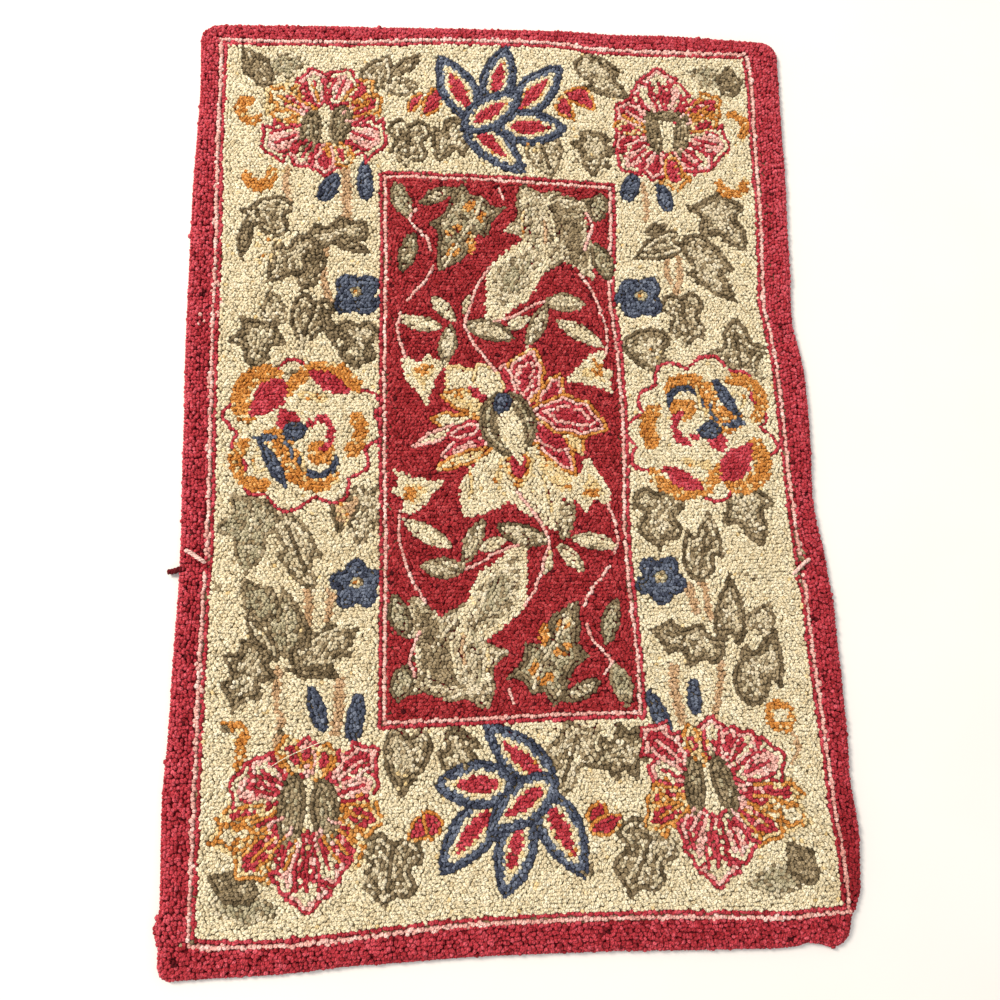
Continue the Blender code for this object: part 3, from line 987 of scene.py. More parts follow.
for i in range(BORDER_ROWS):
    inset = EDGE_INSET + i * BORDER_PITCH
    places, angles = spaced(moved_in(edge_line, inset), PITCH, closed=True)
    keep = (wool_at(places)[1] < 0) & (edge_distance(edge_line, places) > inset - BORDER_SLACK)
    set_row(places[keep], angles[keep], [WOOLS.index("cherry")] * keep.sum())
border_loops = len(row_places) - single_loops - outline_loops
print(single_loops, "loops in single rows,", outline_loops, "in outlines,", border_loops, "in border rows")

# %% [markdown]
# ## The hooking plan: the filling
#
# What is left is filled with loops on a shaken triangular grid, which then push each other apart a few
# times, as packed wool does, until they sit evenly against the rows. A hand never keeps a row quite
# straight, so each loop of a row is also put a little out of line first, in the border more than in the
# drawn outlines.

# %% Fill what is left
GRID_STEP = PITCH * 0.866  # from one line of a triangular grid to the next
SHAKEN = 0.38  # share of the pitch by which a grid place is moved at random
CLEAR_OF_ROWS = 0.74 * PITCH
ROUNDS = 7
PUSH = 0.32  # share of an overlap by which each loop gives way in a round
PUSH_REACH = 1.15 * PITCH  # loops that are nearer than this push each other
BORDER_JITTER, ROW_JITTER = 0.5, 0.34  # mm out of line
BORDER_TURN, ROW_TURN = 0.5, 0.26  # radians out of line


def search_tree(places):
    """A tree that finds the nearest of many places."""
    tree = KDTree(len(places))
    for i, (x, y) in enumerate(places):
        tree.insert((x, y, 0.0), i)
    tree.balance()
    return tree


reach = np.abs(edge_line).max(0) + PITCH
grid = []
for j, y in enumerate(np.arange(-reach[1], reach[1], GRID_STEP)):
    xs = np.arange(-reach[0], reach[0], PITCH) + (j % 2) * PITCH / 2
    grid.append(np.stack([xs, np.full(len(xs), y)], 1))
grid = np.vstack(grid)
grid = grid + chance.uniform(-SHAKEN, SHAKEN, grid.shape) * PITCH
grid = grid[inside(edge_line, grid)]
grid = grid[edge_distance(edge_line[::2], grid) > EDGE_INSET + 1.0]
rows_tree = search_tree(row_places)
loose = np.array([p for p in grid if rows_tree.find((p[0], p[1], 0.0))[2] > CLEAR_OF_ROWS])

fixed = np.array(row_places)
in_border = np.arange(len(fixed)) >= single_loops + outline_loops
jitter = np.where(in_border, BORDER_JITTER, ROW_JITTER)
fixed = fixed + chance.normal(0.0, 1.0, fixed.shape) * jitter[:, None]
turn = np.where(in_border, BORDER_TURN, ROW_TURN)
row_angles = np.array(row_angles) + chance.normal(0.0, 1.0, len(fixed)) * turn
for _ in range(ROUNDS):
    tree = search_tree(np.vstack([fixed, loose]))
    pushed = loose.copy()
    for i, (x, y) in enumerate(loose):
        for near, _, gap in tree.find_range((x, y, 0.0), PUSH_REACH):
            if gap > 0.001:  # a loop doesn't push itself
                push = PUSH * (PUSH_REACH - gap) / gap
                pushed[i] += ((x - near[0]) * push, (y - near[1]) * push)
    loose = pushed
loose = loose[inside(edge_line, loose)]
print(len(loose), "loops of filling between", len(fixed), "loops in rows")

# %% [markdown]
# ## The hooking plan: the holes
#
# When the loops have settled there are still some holes, mostly where a row meets another. A maker looks
# for these holidays, as they are called, and puts in one more loop. So the whole rug is gone over on a fine
# grid, and every place that is too far from all loops gets one.

# %% Fill the holes
HOLE = 0.755 * PITCH  # a place that is further than this from every loop is a hole
TEST_MM = 1.3  # from one tested place to the next
RECENT = 400  # the tests go line by line, so only the newest loops can be near

tree = search_tree(np.vstack([fixed, loose]))
xs, ys = np.meshgrid(*(np.arange(-half, half, TEST_MM) for half in reach))
tests = np.stack([xs.ravel(), ys.ravel()], 1)
tests = tests[[tree.find((x, y, 0.0))[2] > HOLE for x, y in tests]]
tests = tests[inside(edge_line, tests)]
tests = tests[edge_distance(edge_line[::2], tests) > EDGE_INSET]
holes = []
for x, y in tests:
    if all((x - hx) ** 2 + (y - hy) ** 2 > HOLE ** 2 for hx, hy in holes[-RECENT:]):
        holes.append((x, y))
loose = np.vstack([loose, holes])
print(len(holes), "holes filled")

# %% Wool and direction of the filling
FOLLOWS = 3.2 * PITCH  # filling that is nearer than this to a row lies along it
FLOW_SWAY, FLOW_SPREAD = 1.2, 0.45  # radians: how the filling turns from place to place and from loop to loop
RUG_AREA = 5550  # square centimetres
fill_wools, _ = wool_at(loose)
fill_angles = FLOW_SWAY * wander(loose, 90.0, 3) + chance.normal(0.0, FLOW_SPREAD, len(loose))
for i, (x, y) in enumerate(loose):
    _, index, gap = rows_tree.find((x, y, 0.0))
    if gap < FOLLOWS:
        fill_angles[i] += row_angles[index]

places = np.vstack([fixed, loose])
angles = np.concatenate([row_angles, fill_angles])
wools = np.concatenate([row_wools, fill_wools])
is_row = np.arange(len(places)) < len(fixed)
print(len(places), "loops in the plan,", round(len(places) / RUG_AREA, 1), "to the square centimetre")

# %% [markdown]
# ## Wear and age
#
# This rug has been walked on. Two pink ends have pulled out where an old fold crosses the guard lines, a
# few loops are lost or stained, and the loops' tone is lighter or darker in patches, many of them narrow
# strips along the edges. Each worn spot swaps some loops for another wool, and each tone patch shifts the
# tone of all loops near it.
#
# The dyeing adds its own unevenness. A blotchy wool goes over to its darker or lighter neighbour in
# patches, and now and then a single loop comes from the next ball.

# %% Worn spots and tone patches
WORN = (  # x, y, radius across and along, wool, share of loops
    (-281, -106, 7, 9, "cherry", 1.0), (281, -116, 7, 16, "taupe", 0.35), (282, -126, 9, 12, "cherry", 0.5),
    (272, 441, 4, 3, "maroon", 0.4), (74, -434, 6, 4, "maroon", 0.6), (238, -449, 6, 4, "maroon", 0.6),
    (-292, -441, 4, 4, "maroon", 0.8), (-256, -253, 4, 3, "umber", 0.9), (-208, -256, 3, 3, "umber", 0.9),
    (234, -124, 17, 8, "olive", 0.3), (-286, 126, 9, 18, "pink", 0.10), (-276, 162, 3, 30, "pink", 0.3),
    (-268, -124, 4, 7, "taupe", 0.6), (65, -384, 9, 6, "taupe", 0.35), (-206, 77, 6, 3, "umber", 0.7),
    (-282, -428, 8, 5, "taupe", 0.3), (183, -190, 2, 8, "cream", 0.9), (-232, 206, 16, 18, "straw", 0.35),
    (152, 98, 8, 8, "straw", 0.4), (-154, -62, 6, 12, "straw", 0.4), (36, 322, 8, 8, "straw", 0.3),
    (-100, -300, 10, 10, "straw", 0.15), (290, 60, 12, 300, "maroon", 0.015),
    (-292, -60, 12, 300, "maroon", 0.02),
)
# Patches where the tone of all nearby loops is shifted lighter or darker; many are narrow strips along the
# edges.
TONE_PATCHES = (  # x, y, spread across and along, shift in tone
    (-292, -60, 16, 360, 0.05), (0, 452, 320, 14, 0.14), (-292, 330, 14, 120, 0.15),
    (300, -390, 14, 60, -0.45), (292, -200, 22, 240, -0.04), (298, 250, 22, 190, 0.2),
    (-303, 0, 6, 460, 0.2), (-287, -60, 5, 400, -0.15), (0, -442, 320, 12, -0.05),
    (40, -30, 90, 180, -0.04), (-180, 130, 80, 90, -0.10), (-180, -160, 90, 100, -0.08),
    (-60, 410, 200, 40, 0.12), (200, -60, 80, 200, 0.04), (0, -98, 330, 7, -0.16),
)
MOTTLED = {  # wool: what its dark and its light patches are hooked in
    "taupe": ("umber", "ash"), "ash": ("taupe", "cream"), "olive": ("taupe", "ash"),
    "slate": ("navy", "slate"), "umber": ("umber", "taupe"), "straw": ("gold", "cream"),
    "gold": ("gold", "straw"),
}
PATCHY = 0.62  # a patch starts where the mottling is stronger than this, either way
NEXT_BALL = {  # wool: the wool of the next ball, and the share of loops that come from it
    "cream": ("straw", 0.012), "taupe": ("umber", 0.16), "ash": ("taupe", 0.20), "olive": ("taupe", 0.22),
    "slate": ("navy", 0.16), "crimson": ("maroon", 0.02), "gold": ("straw", 0.05),
}
TONE_SPREAD = 0.2  # from loop to loop within one wool

for x, y, wide, long, wool, share in WORN:
    near = (((places - (x, y)) / (wide, long)) ** 2).sum(1) < 1
    wools[near & (chance.random(len(places)) < share)] = WOOLS.index(wool)

mottle = 0.75 * wander(places, 23.0, 11) + 0.5 * wander(places, 9.0, 14)
mottle = mottle + chance.normal(0.0, 0.28, len(places))
plain_wools = wools.copy()
for name, (darker, lighter) in MOTTLED.items():
    mine = plain_wools == WOOLS.index(name)
    wools[mine & (mottle < -PATCHY)] = WOOLS.index(darker)
    wools[mine & (mottle > PATCHY)] = WOOLS.index(lighter)

swap = chance.random(len(places))
for name, (other, share) in NEXT_BALL.items():
    wools[(wools == WOOLS.index(name)) & (swap < share)] = WOOLS.index(other)

tones = 0.5 + chance.normal(0.0, TONE_SPREAD, len(places))
tones = tones + 0.13 * wander(places, 55.0, 5) + 0.08 * wander(places, 17.0, 8)
for x, y, wide, long, shift in TONE_PATCHES:
    tones = tones + shift * np.exp(-(((places - (x, y)) / (wide, long)) ** 2).sum(1))
tones = np.clip(tones, 0.0, 1.0)
print({name: int((wools == i).sum()) for i, name in enumerate(WOOLS)})

# %% [markdown]
# ## Wool as a material
#
# Rug wool is a loosely twisted, matt yarn. What gives it its look is scattered light: no gloss, a soft pale
# sheen on the rim of each loop from stray fibres, darker grooves where the two plies meet, and deep shade
# between loops. The tone comes from each loop's own number and the fuzz from a fine noise. Some light and
# shade
# is painted into the colour as well: a wave across the strand paints shade into the grooves and a highlight
# on each ply's back, each loop is painted darker towards its root for the shade between loops, and a coarser
# noise lightens and darkens the yarn in clumps, partly random tone and partly painted shade in the small gaps
# between the clumps, which breaks up a loop's round back. The strand's own coordinates are stored on the
# loop, so the twist follows it as it turns.

# %% Wool material
WAVE = 0.314  # a wave texture of scale 1 repeats after this length
PLY_MM = 2.2  # from one ply groove to the next
PLY_SLANT = 0.7  # radians between the grooves and the strand
FIBRE_MM = 0.6  # the fuzz, drawn coarser than real fibres, which are too fine to show
CLUMP_MM = 1.3  # light and dark clumps of fibre along the yarn
# The clumps lighten and darken the colour: partly random tone, partly painted shade in the gaps between
# clumps.
CLUMP_SHADING = 2.4  # how strongly the clumps lighten and darken the yarn
CLUMP_MIDDLE, BRIGHTEST_CLUMP = 0.94, 1.08  # shares of the dyed colour
# Painted shade and highlight: the ply wave darkens the colour in each groove and lightens it on each ply's
# back.
GROOVE_LIGHT, PLY_GAIN = 0.78, 0.34  # light left in a groove, and how much more there is on a ply's back
FUZZ_TONE = 0.6  # how far the fuzz shifts the tone
SMOOTHEST, FUZZ_ROUGHNESS = 0.84, 0.16
# Painted shade: a loop's colour is darkened towards its root, for the shade down between the loops.
ROOT_SHADE = 0.62  # share of light that is lost down at a loop's root


def wool_material(name, dark, middle, light):
    """Loosely spun two-ply rug wool, dyed by hand: matt, fuzzy, clumped and uneven in tone. Its colour
    carries painted shade in the ply grooves, between the clumps and down at each loop's root, and a painted
    highlight on each ply's back.
    """
    material, tree, shader = new_material(name + "_rug_wool")
    tone, root, strand = (
        add_node(tree, "ShaderNodeAttribute", {"attribute_name": label})
        for label in ("tone", "root", "strand")
    )
    place = add_node(tree, "ShaderNodeTexCoord").outputs["Object"]
    fuzz, clump = (
        add_node(tree, "ShaderNodeTexNoise", Vector=place, Scale=1 / (size * MM), Detail=detail).outputs[0]
        for size, detail in ((FIBRE_MM, 2.0), (CLUMP_MM, 1.0))
    )
    twist = add_node(tree, "ShaderNodeMapping", Vector=strand.outputs["Vector"],
                     Rotation=(0.0, 0.0, PLY_SLANT))
    wave = add_node(tree, "ShaderNodeTexWave", Vector=twist.outputs["Vector"], Scale=WAVE / PLY_MM,
                    Distortion=0.6)
    ply = wave.outputs["Fac"]
    uneven = calc(tree, "MULTIPLY_ADD", fuzz, FUZZ_TONE, tone.outputs["Fac"])
    dye = add_node(tree, "ShaderNodeValToRGB", Fac=calc(tree, "SUBTRACT", uneven, FUZZ_TONE / 2))
    dye.color_ramp.elements[0].color = linear(dark)
    dye.color_ramp.elements[1].color = linear(light)
    dye.color_ramp.elements.new(0.5).color = linear(middle)
    # painted shade in the ply grooves and a painted highlight on the plies' backs
    ply_shade_painted = scaled(tree, dye.outputs["Color"], calc(tree, "MULTIPLY_ADD", ply, PLY_GAIN, GROOVE_LIGHT))
    # clumps: random tone and painted shade in the gaps between them
    clump_shade_painted = calc(tree, "MULTIPLY_ADD", clump, CLUMP_SHADING, CLUMP_MIDDLE - CLUMP_SHADING / 2)
    capped_clump_shade = calc(tree, "MINIMUM", clump_shade_painted, BRIGHTEST_CLUMP)
    # painted shade: darker towards each loop's root
    root_shade_painted = calc(tree, "MULTIPLY_ADD", root.outputs["Fac"], -ROOT_SHADE, 1.0)
    shaded = scaled(tree, ply_shade_painted, calc(tree, "MULTIPLY", root_shade_painted, capped_clump_shade))
    tree.links.new(shaded, shader.inputs["Base Color"])
    height = calc(tree, "MULTIPLY_ADD", ply, 0.6, clump)
    relief = add_node(tree, "ShaderNodeBump", Height=height, Strength=0.9, Distance=1.0 * MM)
    tree.links.new(relief.outputs["Normal"], shader.inputs["Normal"])
    rough = calc(tree, "MULTIPLY_ADD", fuzz, FUZZ_ROUGHNESS, SMOOTHEST)
    tree.links.new(rough, shader.inputs["Roughness"])
    shader.inputs["Specular IOR Level"].default_value = 0.18
    shader.inputs["Sheen Weight"].default_value = 0.12
    shader.inputs["Sheen Roughness"].default_value = 0.5
    shader.inputs["Sheen Tint"].default_value = linear(light)
    return material


wool_materials = {name: wool_material(name, *tones_of) for name, tones_of in YARNS.items()}
print(len(wool_materials), "wools dyed")

# %% [markdown]
# ## One loop, hooked fifty thousand times
#
# A hooked loop is a strand that comes up out of the cloth, turns over and goes down the same hole. Packed
# among its neighbours, only its rounded back shows, a little longer along its row than across. With so many
# of them each may only have a few faces: a pinched root, a ring of six points at its widest and a ring of
# four round the crown, eighteen triangles in all, shaded smooth.
#
# Geometry Nodes set the loops: one at every place of the plan, turned and sized by the numbers stored
# there, then made real. Each wool is a piece of its own, and a wool with very many loops is two or more.

# %% The loop
LOOP_LENGTH = 5.0 * MM
LOOP_WIDTH = 4.0 * MM
LOOP_HEIGHT = 6.0 * MM
WIDE_POINTS, CROWN_POINTS = 6, 4
WIDE_STEP, CROWN_STEP = 60.0, 90.0  # degrees from one point of a ring to the next
CROWN_TURN = 45.0  # degrees by which the crown's first point is ahead of the wide ring's
WIDEST = (-0.38, 1.16, WIDE_POINTS, 0.0)  # height below the tip, width, points, turn of the first point
CROWN = (-0.06, 0.56, CROWN_POINTS, math.pi / 4)
# painted shade by ring: how much of ROOT_SHADE darkens the colour at each ring
PAINTED_ROOT_SHADE = (1.0, 0.36, 0.0)  # at the root, at the widest ring and at the crown


def store(mesh, label, values):
    """Stores a number, or a vector, on every point of a mesh."""
    kind, field = ("FLOAT", "value") if np.ndim(values) == 1 else ("FLOAT_VECTOR", "vector")
    mesh.attributes.new(label, kind, "POINT").data.foreach_set(field, np.ravel(values).astype(np.float32))


def ring_points(z, width, count, first):
    """The points of one ring of the loop."""
    turns = first + np.arange(count) * 2 * np.pi / count
    return [(0.5 * width * math.cos(a), 0.5 * width * math.sin(a), z) for a in turns]


def ring_by_ring(root, wide, crown):
    """A value for each of a loop's points, from one for its root and one for each ring."""
    return [root] + [wide] * WIDE_POINTS + [crown] * CROWN_POINTS


def loop_mesh():
    """A loop one metre long, wide and high, its tip at the origin, with the strand's coordinates on it."""
    points = [(0.0, 0.0, -1.0), *ring_points(*WIDEST), *ring_points(*CROWN)]
    low = [1 + i for i in range(WIDE_POINTS)]
    high = [1 + WIDE_POINTS + j for j in range(CROWN_POINTS)]
    faces = [(0, low[(i + 1) % WIDE_POINTS], low[i]) for i in range(WIDE_POINTS)]
    i = j = 0
    while i < WIDE_POINTS or j < CROWN_POINTS:
        low_next = (i + 1) * WIDE_STEP if i < WIDE_POINTS else math.inf
        high_next = CROWN_TURN + (j + 1) * CROWN_STEP - WIDE_STEP / 2 if j < CROWN_POINTS else math.inf
        at_low, at_high = low[i % WIDE_POINTS], high[j % CROWN_POINTS]
        if low_next <= high_next:
            faces.append((at_low, low[(i + 1) % WIDE_POINTS], at_high))
            i += 1
        else:
            faces.append((at_low, high[(j + 1) % CROWN_POINTS], at_high))
            j += 1
    faces += [(high[0], high[1], high[2]), (high[0], high[2], high[3])]
    mesh = bpy.data.meshes.new("one_loop")
    mesh.from_pydata(points, [], faces)
    mesh.shade_smooth()
    # the "root" number sets the painted shade that darkens each loop towards its root
    store(mesh, "root", ring_by_ring(*PAINTED_ROOT_SHADE))
    store(mesh, "strand", np.array(points) * (np.array([LOOP_LENGTH, LOOP_WIDTH, LOOP_HEIGHT]) / MM))
    return mesh


one_loop = bpy.data.objects.new("one_loop", loop_mesh())
LOOP_FACES = len(one_loop.data.polygons)
LOOP_POINTS = len(one_loop.data.vertices)
print("a loop has", LOOP_FACES, "triangles; all of them", LOOP_FACES * len(places))

# %% The hooking tree
def hooking_tree():
    """Sets a loop at each point, turned by its "turn" and sized by its "size", and makes them real."""
    tree = bpy.data.node_groups.new("hook_loops", "GeometryNodeTree")
    for name, kind in (("Places", "Geometry"), ("Loop", "Object"), ("Loop length", "Float"),
                       ("Loop width", "Float"), ("Loop height", "Float"), ("Wool", "Material")):
        tree.interface.new_socket(name, in_out="INPUT", socket_type="NodeSocket" + kind)
    tree.interface.new_socket("Pile", in_out="OUTPUT", socket_type="NodeSocketGeometry")
    given = add_node(tree, "NodeGroupInput").outputs
    loop = add_node(tree, "GeometryNodeObjectInfo", Object=given["Loop"])
    sizes = add_node(tree, "ShaderNodeCombineXYZ", X=given["Loop length"], Y=given["Loop width"],
                     Z=given["Loop height"])
    turn, own = (
        add_node(tree, "GeometryNodeInputNamedAttribute", {"data_type": "FLOAT_VECTOR"}, Name=label)
        for label in ("turn", "size")
    )
    scale = add_node(tree, "ShaderNodeVectorMath", {"operation": "MULTIPLY"}, _0=sizes.outputs[0],
                     _1=own.outputs["Attribute"])
    hooked = add_node(tree, "GeometryNodeInstanceOnPoints", Points=given["Places"],
                      Instance=loop.outputs["Geometry"], Rotation=turn.outputs["Attribute"],
                      Scale=scale.outputs[0])
    real = add_node(tree, "GeometryNodeRealizeInstances", Geometry=hooked.outputs["Instances"])
    dyed = add_node(tree, "GeometryNodeSetMaterial", Geometry=real.outputs["Geometry"],
                    Material=given["Wool"])
    add_node(tree, "NodeGroupOutput", Pile=dyed.outputs["Geometry"])
    return tree


hooking = hooking_tree()
SOCKETS = {item.name: item.identifier for item in hooking.interface.items_tree if item.in_out == "INPUT"}
print("hooking tree with", len(hooking.nodes), "nodes")

# %% Hooking one wool
LOWEST_WOOL = 0.1 * MM  # the floor keeps every loop above it
CELL_REACH = (0.46, 0.30, 0.14)  # how far the root and the two rings lie from the middle of a loop's square


def bake_cells(mesh, count):
    """A map with a small square for every loop, its crown in the middle and its root at the rim, so that the
    loops' colours can be painted on one flat picture."""
    side = math.ceil(math.sqrt(count))
    corner_point = np.empty(len(mesh.loops), int)
    mesh.loops.foreach_get("vertex_index", corner_point)
    local = corner_point % LOOP_POINTS
    angle = np.concatenate([[0.0], np.arange(WIDE_POINTS) * WIDE_STEP,
                            CROWN_TURN + np.arange(CROWN_POINTS) * CROWN_STEP])
    corner_angle = angle[local].reshape(-1, 3)
    is_root = local.reshape(-1, 3) == 0
    others = np.radians(np.where(is_root, np.nan, corner_angle))
    middle = np.arctan2(np.nanmean(np.sin(others), 1), np.nanmean(np.cos(others), 1))
    turn = np.where(is_root, middle[:, None], np.radians(corner_angle)).ravel()
    reach = np.array(ring_by_ring(*CELL_REACH))[local]
    cell = corner_point // LOOP_POINTS
    flat = np.stack([(cell % side + 0.5 + reach * np.cos(turn)) / side,
                     (cell // side + 0.5 + reach * np.sin(turn)) / side], 1)
    cells = mesh.uv_layers.new(name="OFBake")
    cells.uv.foreach_set("vector", flat.ravel().astype(np.float32))


def hook(name, wool, spots, turns, sizes, tones_here):
    """Hooks one wool's loops at these spots and returns them as one plain mesh object."""
    cloth_points = bpy.data.meshes.new(name + "_places")
    cloth_points.from_pydata(spots.tolist(), [], [])
    for label, values in (("turn", turns), ("size", sizes), ("tone", tones_here)):
        store(cloth_points, label, values)
    holder = put_in_scene(name + "_holder", cloth_points)
    step = holder.modifiers.new("hooking", "NODES")
    step.node_group = hooking
    for socket, value in (("Loop", one_loop), ("Loop length", LOOP_LENGTH), ("Loop width", LOOP_WIDTH),
                          ("Loop height", LOOP_HEIGHT), ("Wool", wool_materials[wool])):
        step[SOCKETS[socket]] = value
    done = bpy.data.meshes.new_from_object(holder.evaluated_get(bpy.context.evaluated_depsgraph_get()))
    bpy.data.objects.remove(holder)
    done.name = name
    corners = np.empty(len(done.vertices) * 3)
    done.vertices.foreach_get("co", corners)
    corners[2::3] = np.maximum(corners[2::3], LOWEST_WOOL)
    done.vertices.foreach_set("co", corners)
    for spare in ("turn", "size"):
        if spare in done.attributes:
            done.attributes.remove(done.attributes[spare])
    bake_cells(done, len(spots))
    return put_in_scene(name, done)


# %% Where each loop stands
JUST_INSIDE = 0.996  # a loop just past the solid's rim takes its height from this share of the way out
SUNK = 0.1 * MM
HEIGHT_SPREAD = 0.40 * MM
LEAN_SPREAD = 0.2
SIZE_SPREAD = 0.1
SMALLEST, LARGEST = 0.75, 1.25
ALL_LOOPS = (1.0, 1.0, 0.98)  # length, width and height as hooked
ROW_LOOPS = (0.9, 1.0, 0.98)  # the loops of a row are shorter, since it packs them


def standing(angles, stands):
    """The turns that stand loops along these directions, with their rows at these angles."""
    up = stands / np.linalg.norm(stands, axis=1)[:, None]
    ahead = np.stack([np.cos(angles), np.sin(angles), np.zeros(len(angles))], 1)
    ahead = ahead - up * (ahead * up).sum(1)[:, None]
    ahead = ahead / np.linalg.norm(ahead, axis=1)[:, None]
    side = np.cross(up, ahead)
    return np.stack([np.arctan2(side[:, 2], up[:, 2]), np.arcsin(np.clip(-ahead[:, 2], -1, 1)),
                     np.arctan2(ahead[:, 1], ahead[:, 0])], 1)


count = len(places)
spots = np.empty((count, 3))
stands = np.empty((count, 3))
for i, (x, y) in enumerate(on_cloth(places)):
    top, normal = pile_top(x, y)
    if top is None:
        top, normal = pile_top(x * JUST_INSIDE, y * JUST_INSIDE)
    spots[i] = (x, y, top.z)
    stands[i] = normal
spots[:, 2] += chance.normal(0.0, HEIGHT_SPREAD, count) - SUNK
stands = stands + chance.normal(0.0, LEAN_SPREAD, (count, 3)) * (1, 1, 0)
turns = standing(angles, stands)
sizes = chance.normal(1.0, SIZE_SPREAD, (count, 3)).clip(SMALLEST, LARGEST) * ALL_LOOPS
sizes[is_row] = sizes[is_row] * np.array(row_sizes)[:, None] * ROW_LOOPS
print("loop tips", *(round(ask(spots[:, 2]) / MM, 1) for ask in (np.min, np.max)), "mm above the floor")

# %% [markdown]
# ## The rolled edge
#
# At the edge the cloth is turned under, and two more rows of cherry loops are hooked over the turn. They
# lean outwards, so the rug's side is wool down to the floor. They are set on the solid's side wall. Near
# one corner something has snagged a loop or two and pulled them out of the edge.

# %% Loops on the side wall
WALL_ROWS = ((1.1, 0.4), (3.1, -0.05))  # height in mm, and how far up the loops point
WALL_INSET = 0.35  # mm
SNAG_AT, SNAG_SPREAD = -417.5, 4.0  # mm along the left edge
SNAG_OUT = 2.4  # mm by which the snagged loops stick out

wall_spots, wall_turns = [], []
for height, rise in WALL_ROWS:
    line, line_angles = spaced(moved_in(edge_line, WALL_INSET), PITCH, closed=True)
    outward = np.stack([np.sin(line_angles), -np.cos(line_angles), np.full(len(line), rise)], 1)
    wall_spots.append(np.column_stack([on_cloth(line), np.full(len(line), height * MM)]))
    wall_turns.append(standing(line_angles, outward))
wall_spots, wall_turns = np.vstack(wall_spots), np.vstack(wall_turns)
wall_spots[:, 2] += chance.normal(0.0, 0.15 * MM, len(wall_spots))
snagged = (wall_spots[:, 0] < 0) * np.exp(-(((wall_spots[:, 1] / MM - SNAG_AT) / SNAG_SPREAD) ** 2))
wall_spots[:, 0] -= SNAG_OUT * MM * snagged
wall_sizes = chance.normal(0.95, 0.05, (len(wall_spots), 3)) * (1.0, 0.8, 0.8)
wall_tones = np.clip(chance.normal(0.38, 0.15, len(wall_spots)), 0, 1)
print(len(wall_spots), "loops on the side wall")

# %% Hook every wool
MOST_LOOPS = 10500  # in one piece
pile = []
for number, wool in enumerate(WOOLS):
    mine = np.flatnonzero(wools == number)
    mine = mine[np.argsort(spots[mine, 1])]
    for part, chosen in enumerate(np.array_split(mine, len(mine) // MOST_LOOPS + 1)):
        name = f"pile_{wool}_{part + 1}"
        pile.append(hook(name, wool, spots[chosen], turns[chosen], sizes[chosen], tones[chosen]))
pile.append(hook("pile_rolled_edge", "cherry", wall_spots, wall_turns, wall_sizes, wall_tones))
for piece in pile:
    print(piece.name, len(piece.data.polygons), "triangles")

# %% [markdown]
# ## The backing cloth
#
# The loops stand in a stout cotton cloth, about as open as sacking. Its edge is turned under by an inch and
# pressed flat, so the back has a slightly raised rim. It is one closed sheet made from the rug's edge,
# drawn in by the thickness of the rolled pile.
#
# Down between the loops' feet no cotton is seen, only the lower parts of the wool, deep in shade. The sheet's
# upper side stands for it and is painted with that shade: the wool's hue darkened, red in the border and the
# panel, and buff in the field between them.

# %% Cotton cloth material
THREAD_MM = 1.1  # from one thread of the cloth to the next
# Painted shade: the sheet's upper side, seen between the loops' feet, takes these darkened wool colours.
RED_WOOL_IN_PAINTED_SHADE = "#7c1a22"
BUFF_WOOL_IN_PAINTED_SHADE = "#9a8764"
PAINTED_SHADE_ABOVE = 1.6 * MM
HALF_PANEL = {"X": 107.0 * MM, "Y": 270.0 * MM}  # the parts' half sizes, less the red of their guard lines
HALF_FIELD = {"X": 281.0 * MM, "Y": 428.0 * MM}


def cotton_cloth():
    """Unbleached cotton backing: dull, warm, darkened by dust, with its over and under weave standing in
    relief. Its upper side is painted as wool in shade: the painted shade seen between the loops' feet."""
    material, tree, shader = new_material("unbleached_cotton_backing")
    place = add_node(tree, "ShaderNodeTexCoord").outputs["Object"]
    warp, weft = (
        add_node(tree, "ShaderNodeTexWave", {"bands_direction": direction}, Vector=place,
                 Scale=WAVE / (THREAD_MM * MM), Distortion=0.4).outputs["Fac"]
        for direction in ("X", "Y")
    )
    weave = calc(tree, "MULTIPLY", warp, weft)
    slub = add_node(tree, "ShaderNodeTexNoise", Vector=place, Scale=60.0, Detail=6.0)
    dust = calc(tree, "MULTIPLY_ADD", weave, 0.5, slub.outputs["Fac"])
    tint = add_node(tree, "ShaderNodeValToRGB", Fac=dust)
    for element, (position, colour) in zip(tint.color_ramp.elements, ((0.25, "#8a7350"), (0.95, "#c9b48e"))):
        element.position = position
        element.color = linear(colour)
    from_middle = add_node(tree, "ShaderNodeVectorMath", {"operation": "ABSOLUTE"}, _0=place)
    away = add_node(tree, "ShaderNodeSeparateXYZ", Vector=from_middle.outputs[0]).outputs
    in_panel, in_field = (
        calc(tree, "MULTIPLY", *(calc(tree, "LESS_THAN", away[axis], half[axis]) for axis in ("X", "Y")))
        for half in (HALF_PANEL, HALF_FIELD)
    )
    # painted shade on the sheet's upper side: dark red in the border and panel, dark buff in the field
    wool_in_painted_shade = blend(tree, calc(tree, "SUBTRACT", in_field, in_panel), linear(RED_WOOL_IN_PAINTED_SHADE), linear(BUFF_WOOL_IN_PAINTED_SHADE))
    cloth_or_painted_shade = blend(tree, calc(tree, "GREATER_THAN", away["Z"], PAINTED_SHADE_ABOVE), tint.outputs["Color"], wool_in_painted_shade)
    tree.links.new(cloth_or_painted_shade, shader.inputs["Base Color"])
    relief = add_node(tree, "ShaderNodeBump", Height=weave, Strength=0.6, Distance=0.3 * MM)
    tree.links.new(relief.outputs["Normal"], shader.inputs["Normal"])
    shader.inputs["Roughness"].default_value = 0.93
    shader.inputs["Specular IOR Level"].default_value = 0.15
    return material


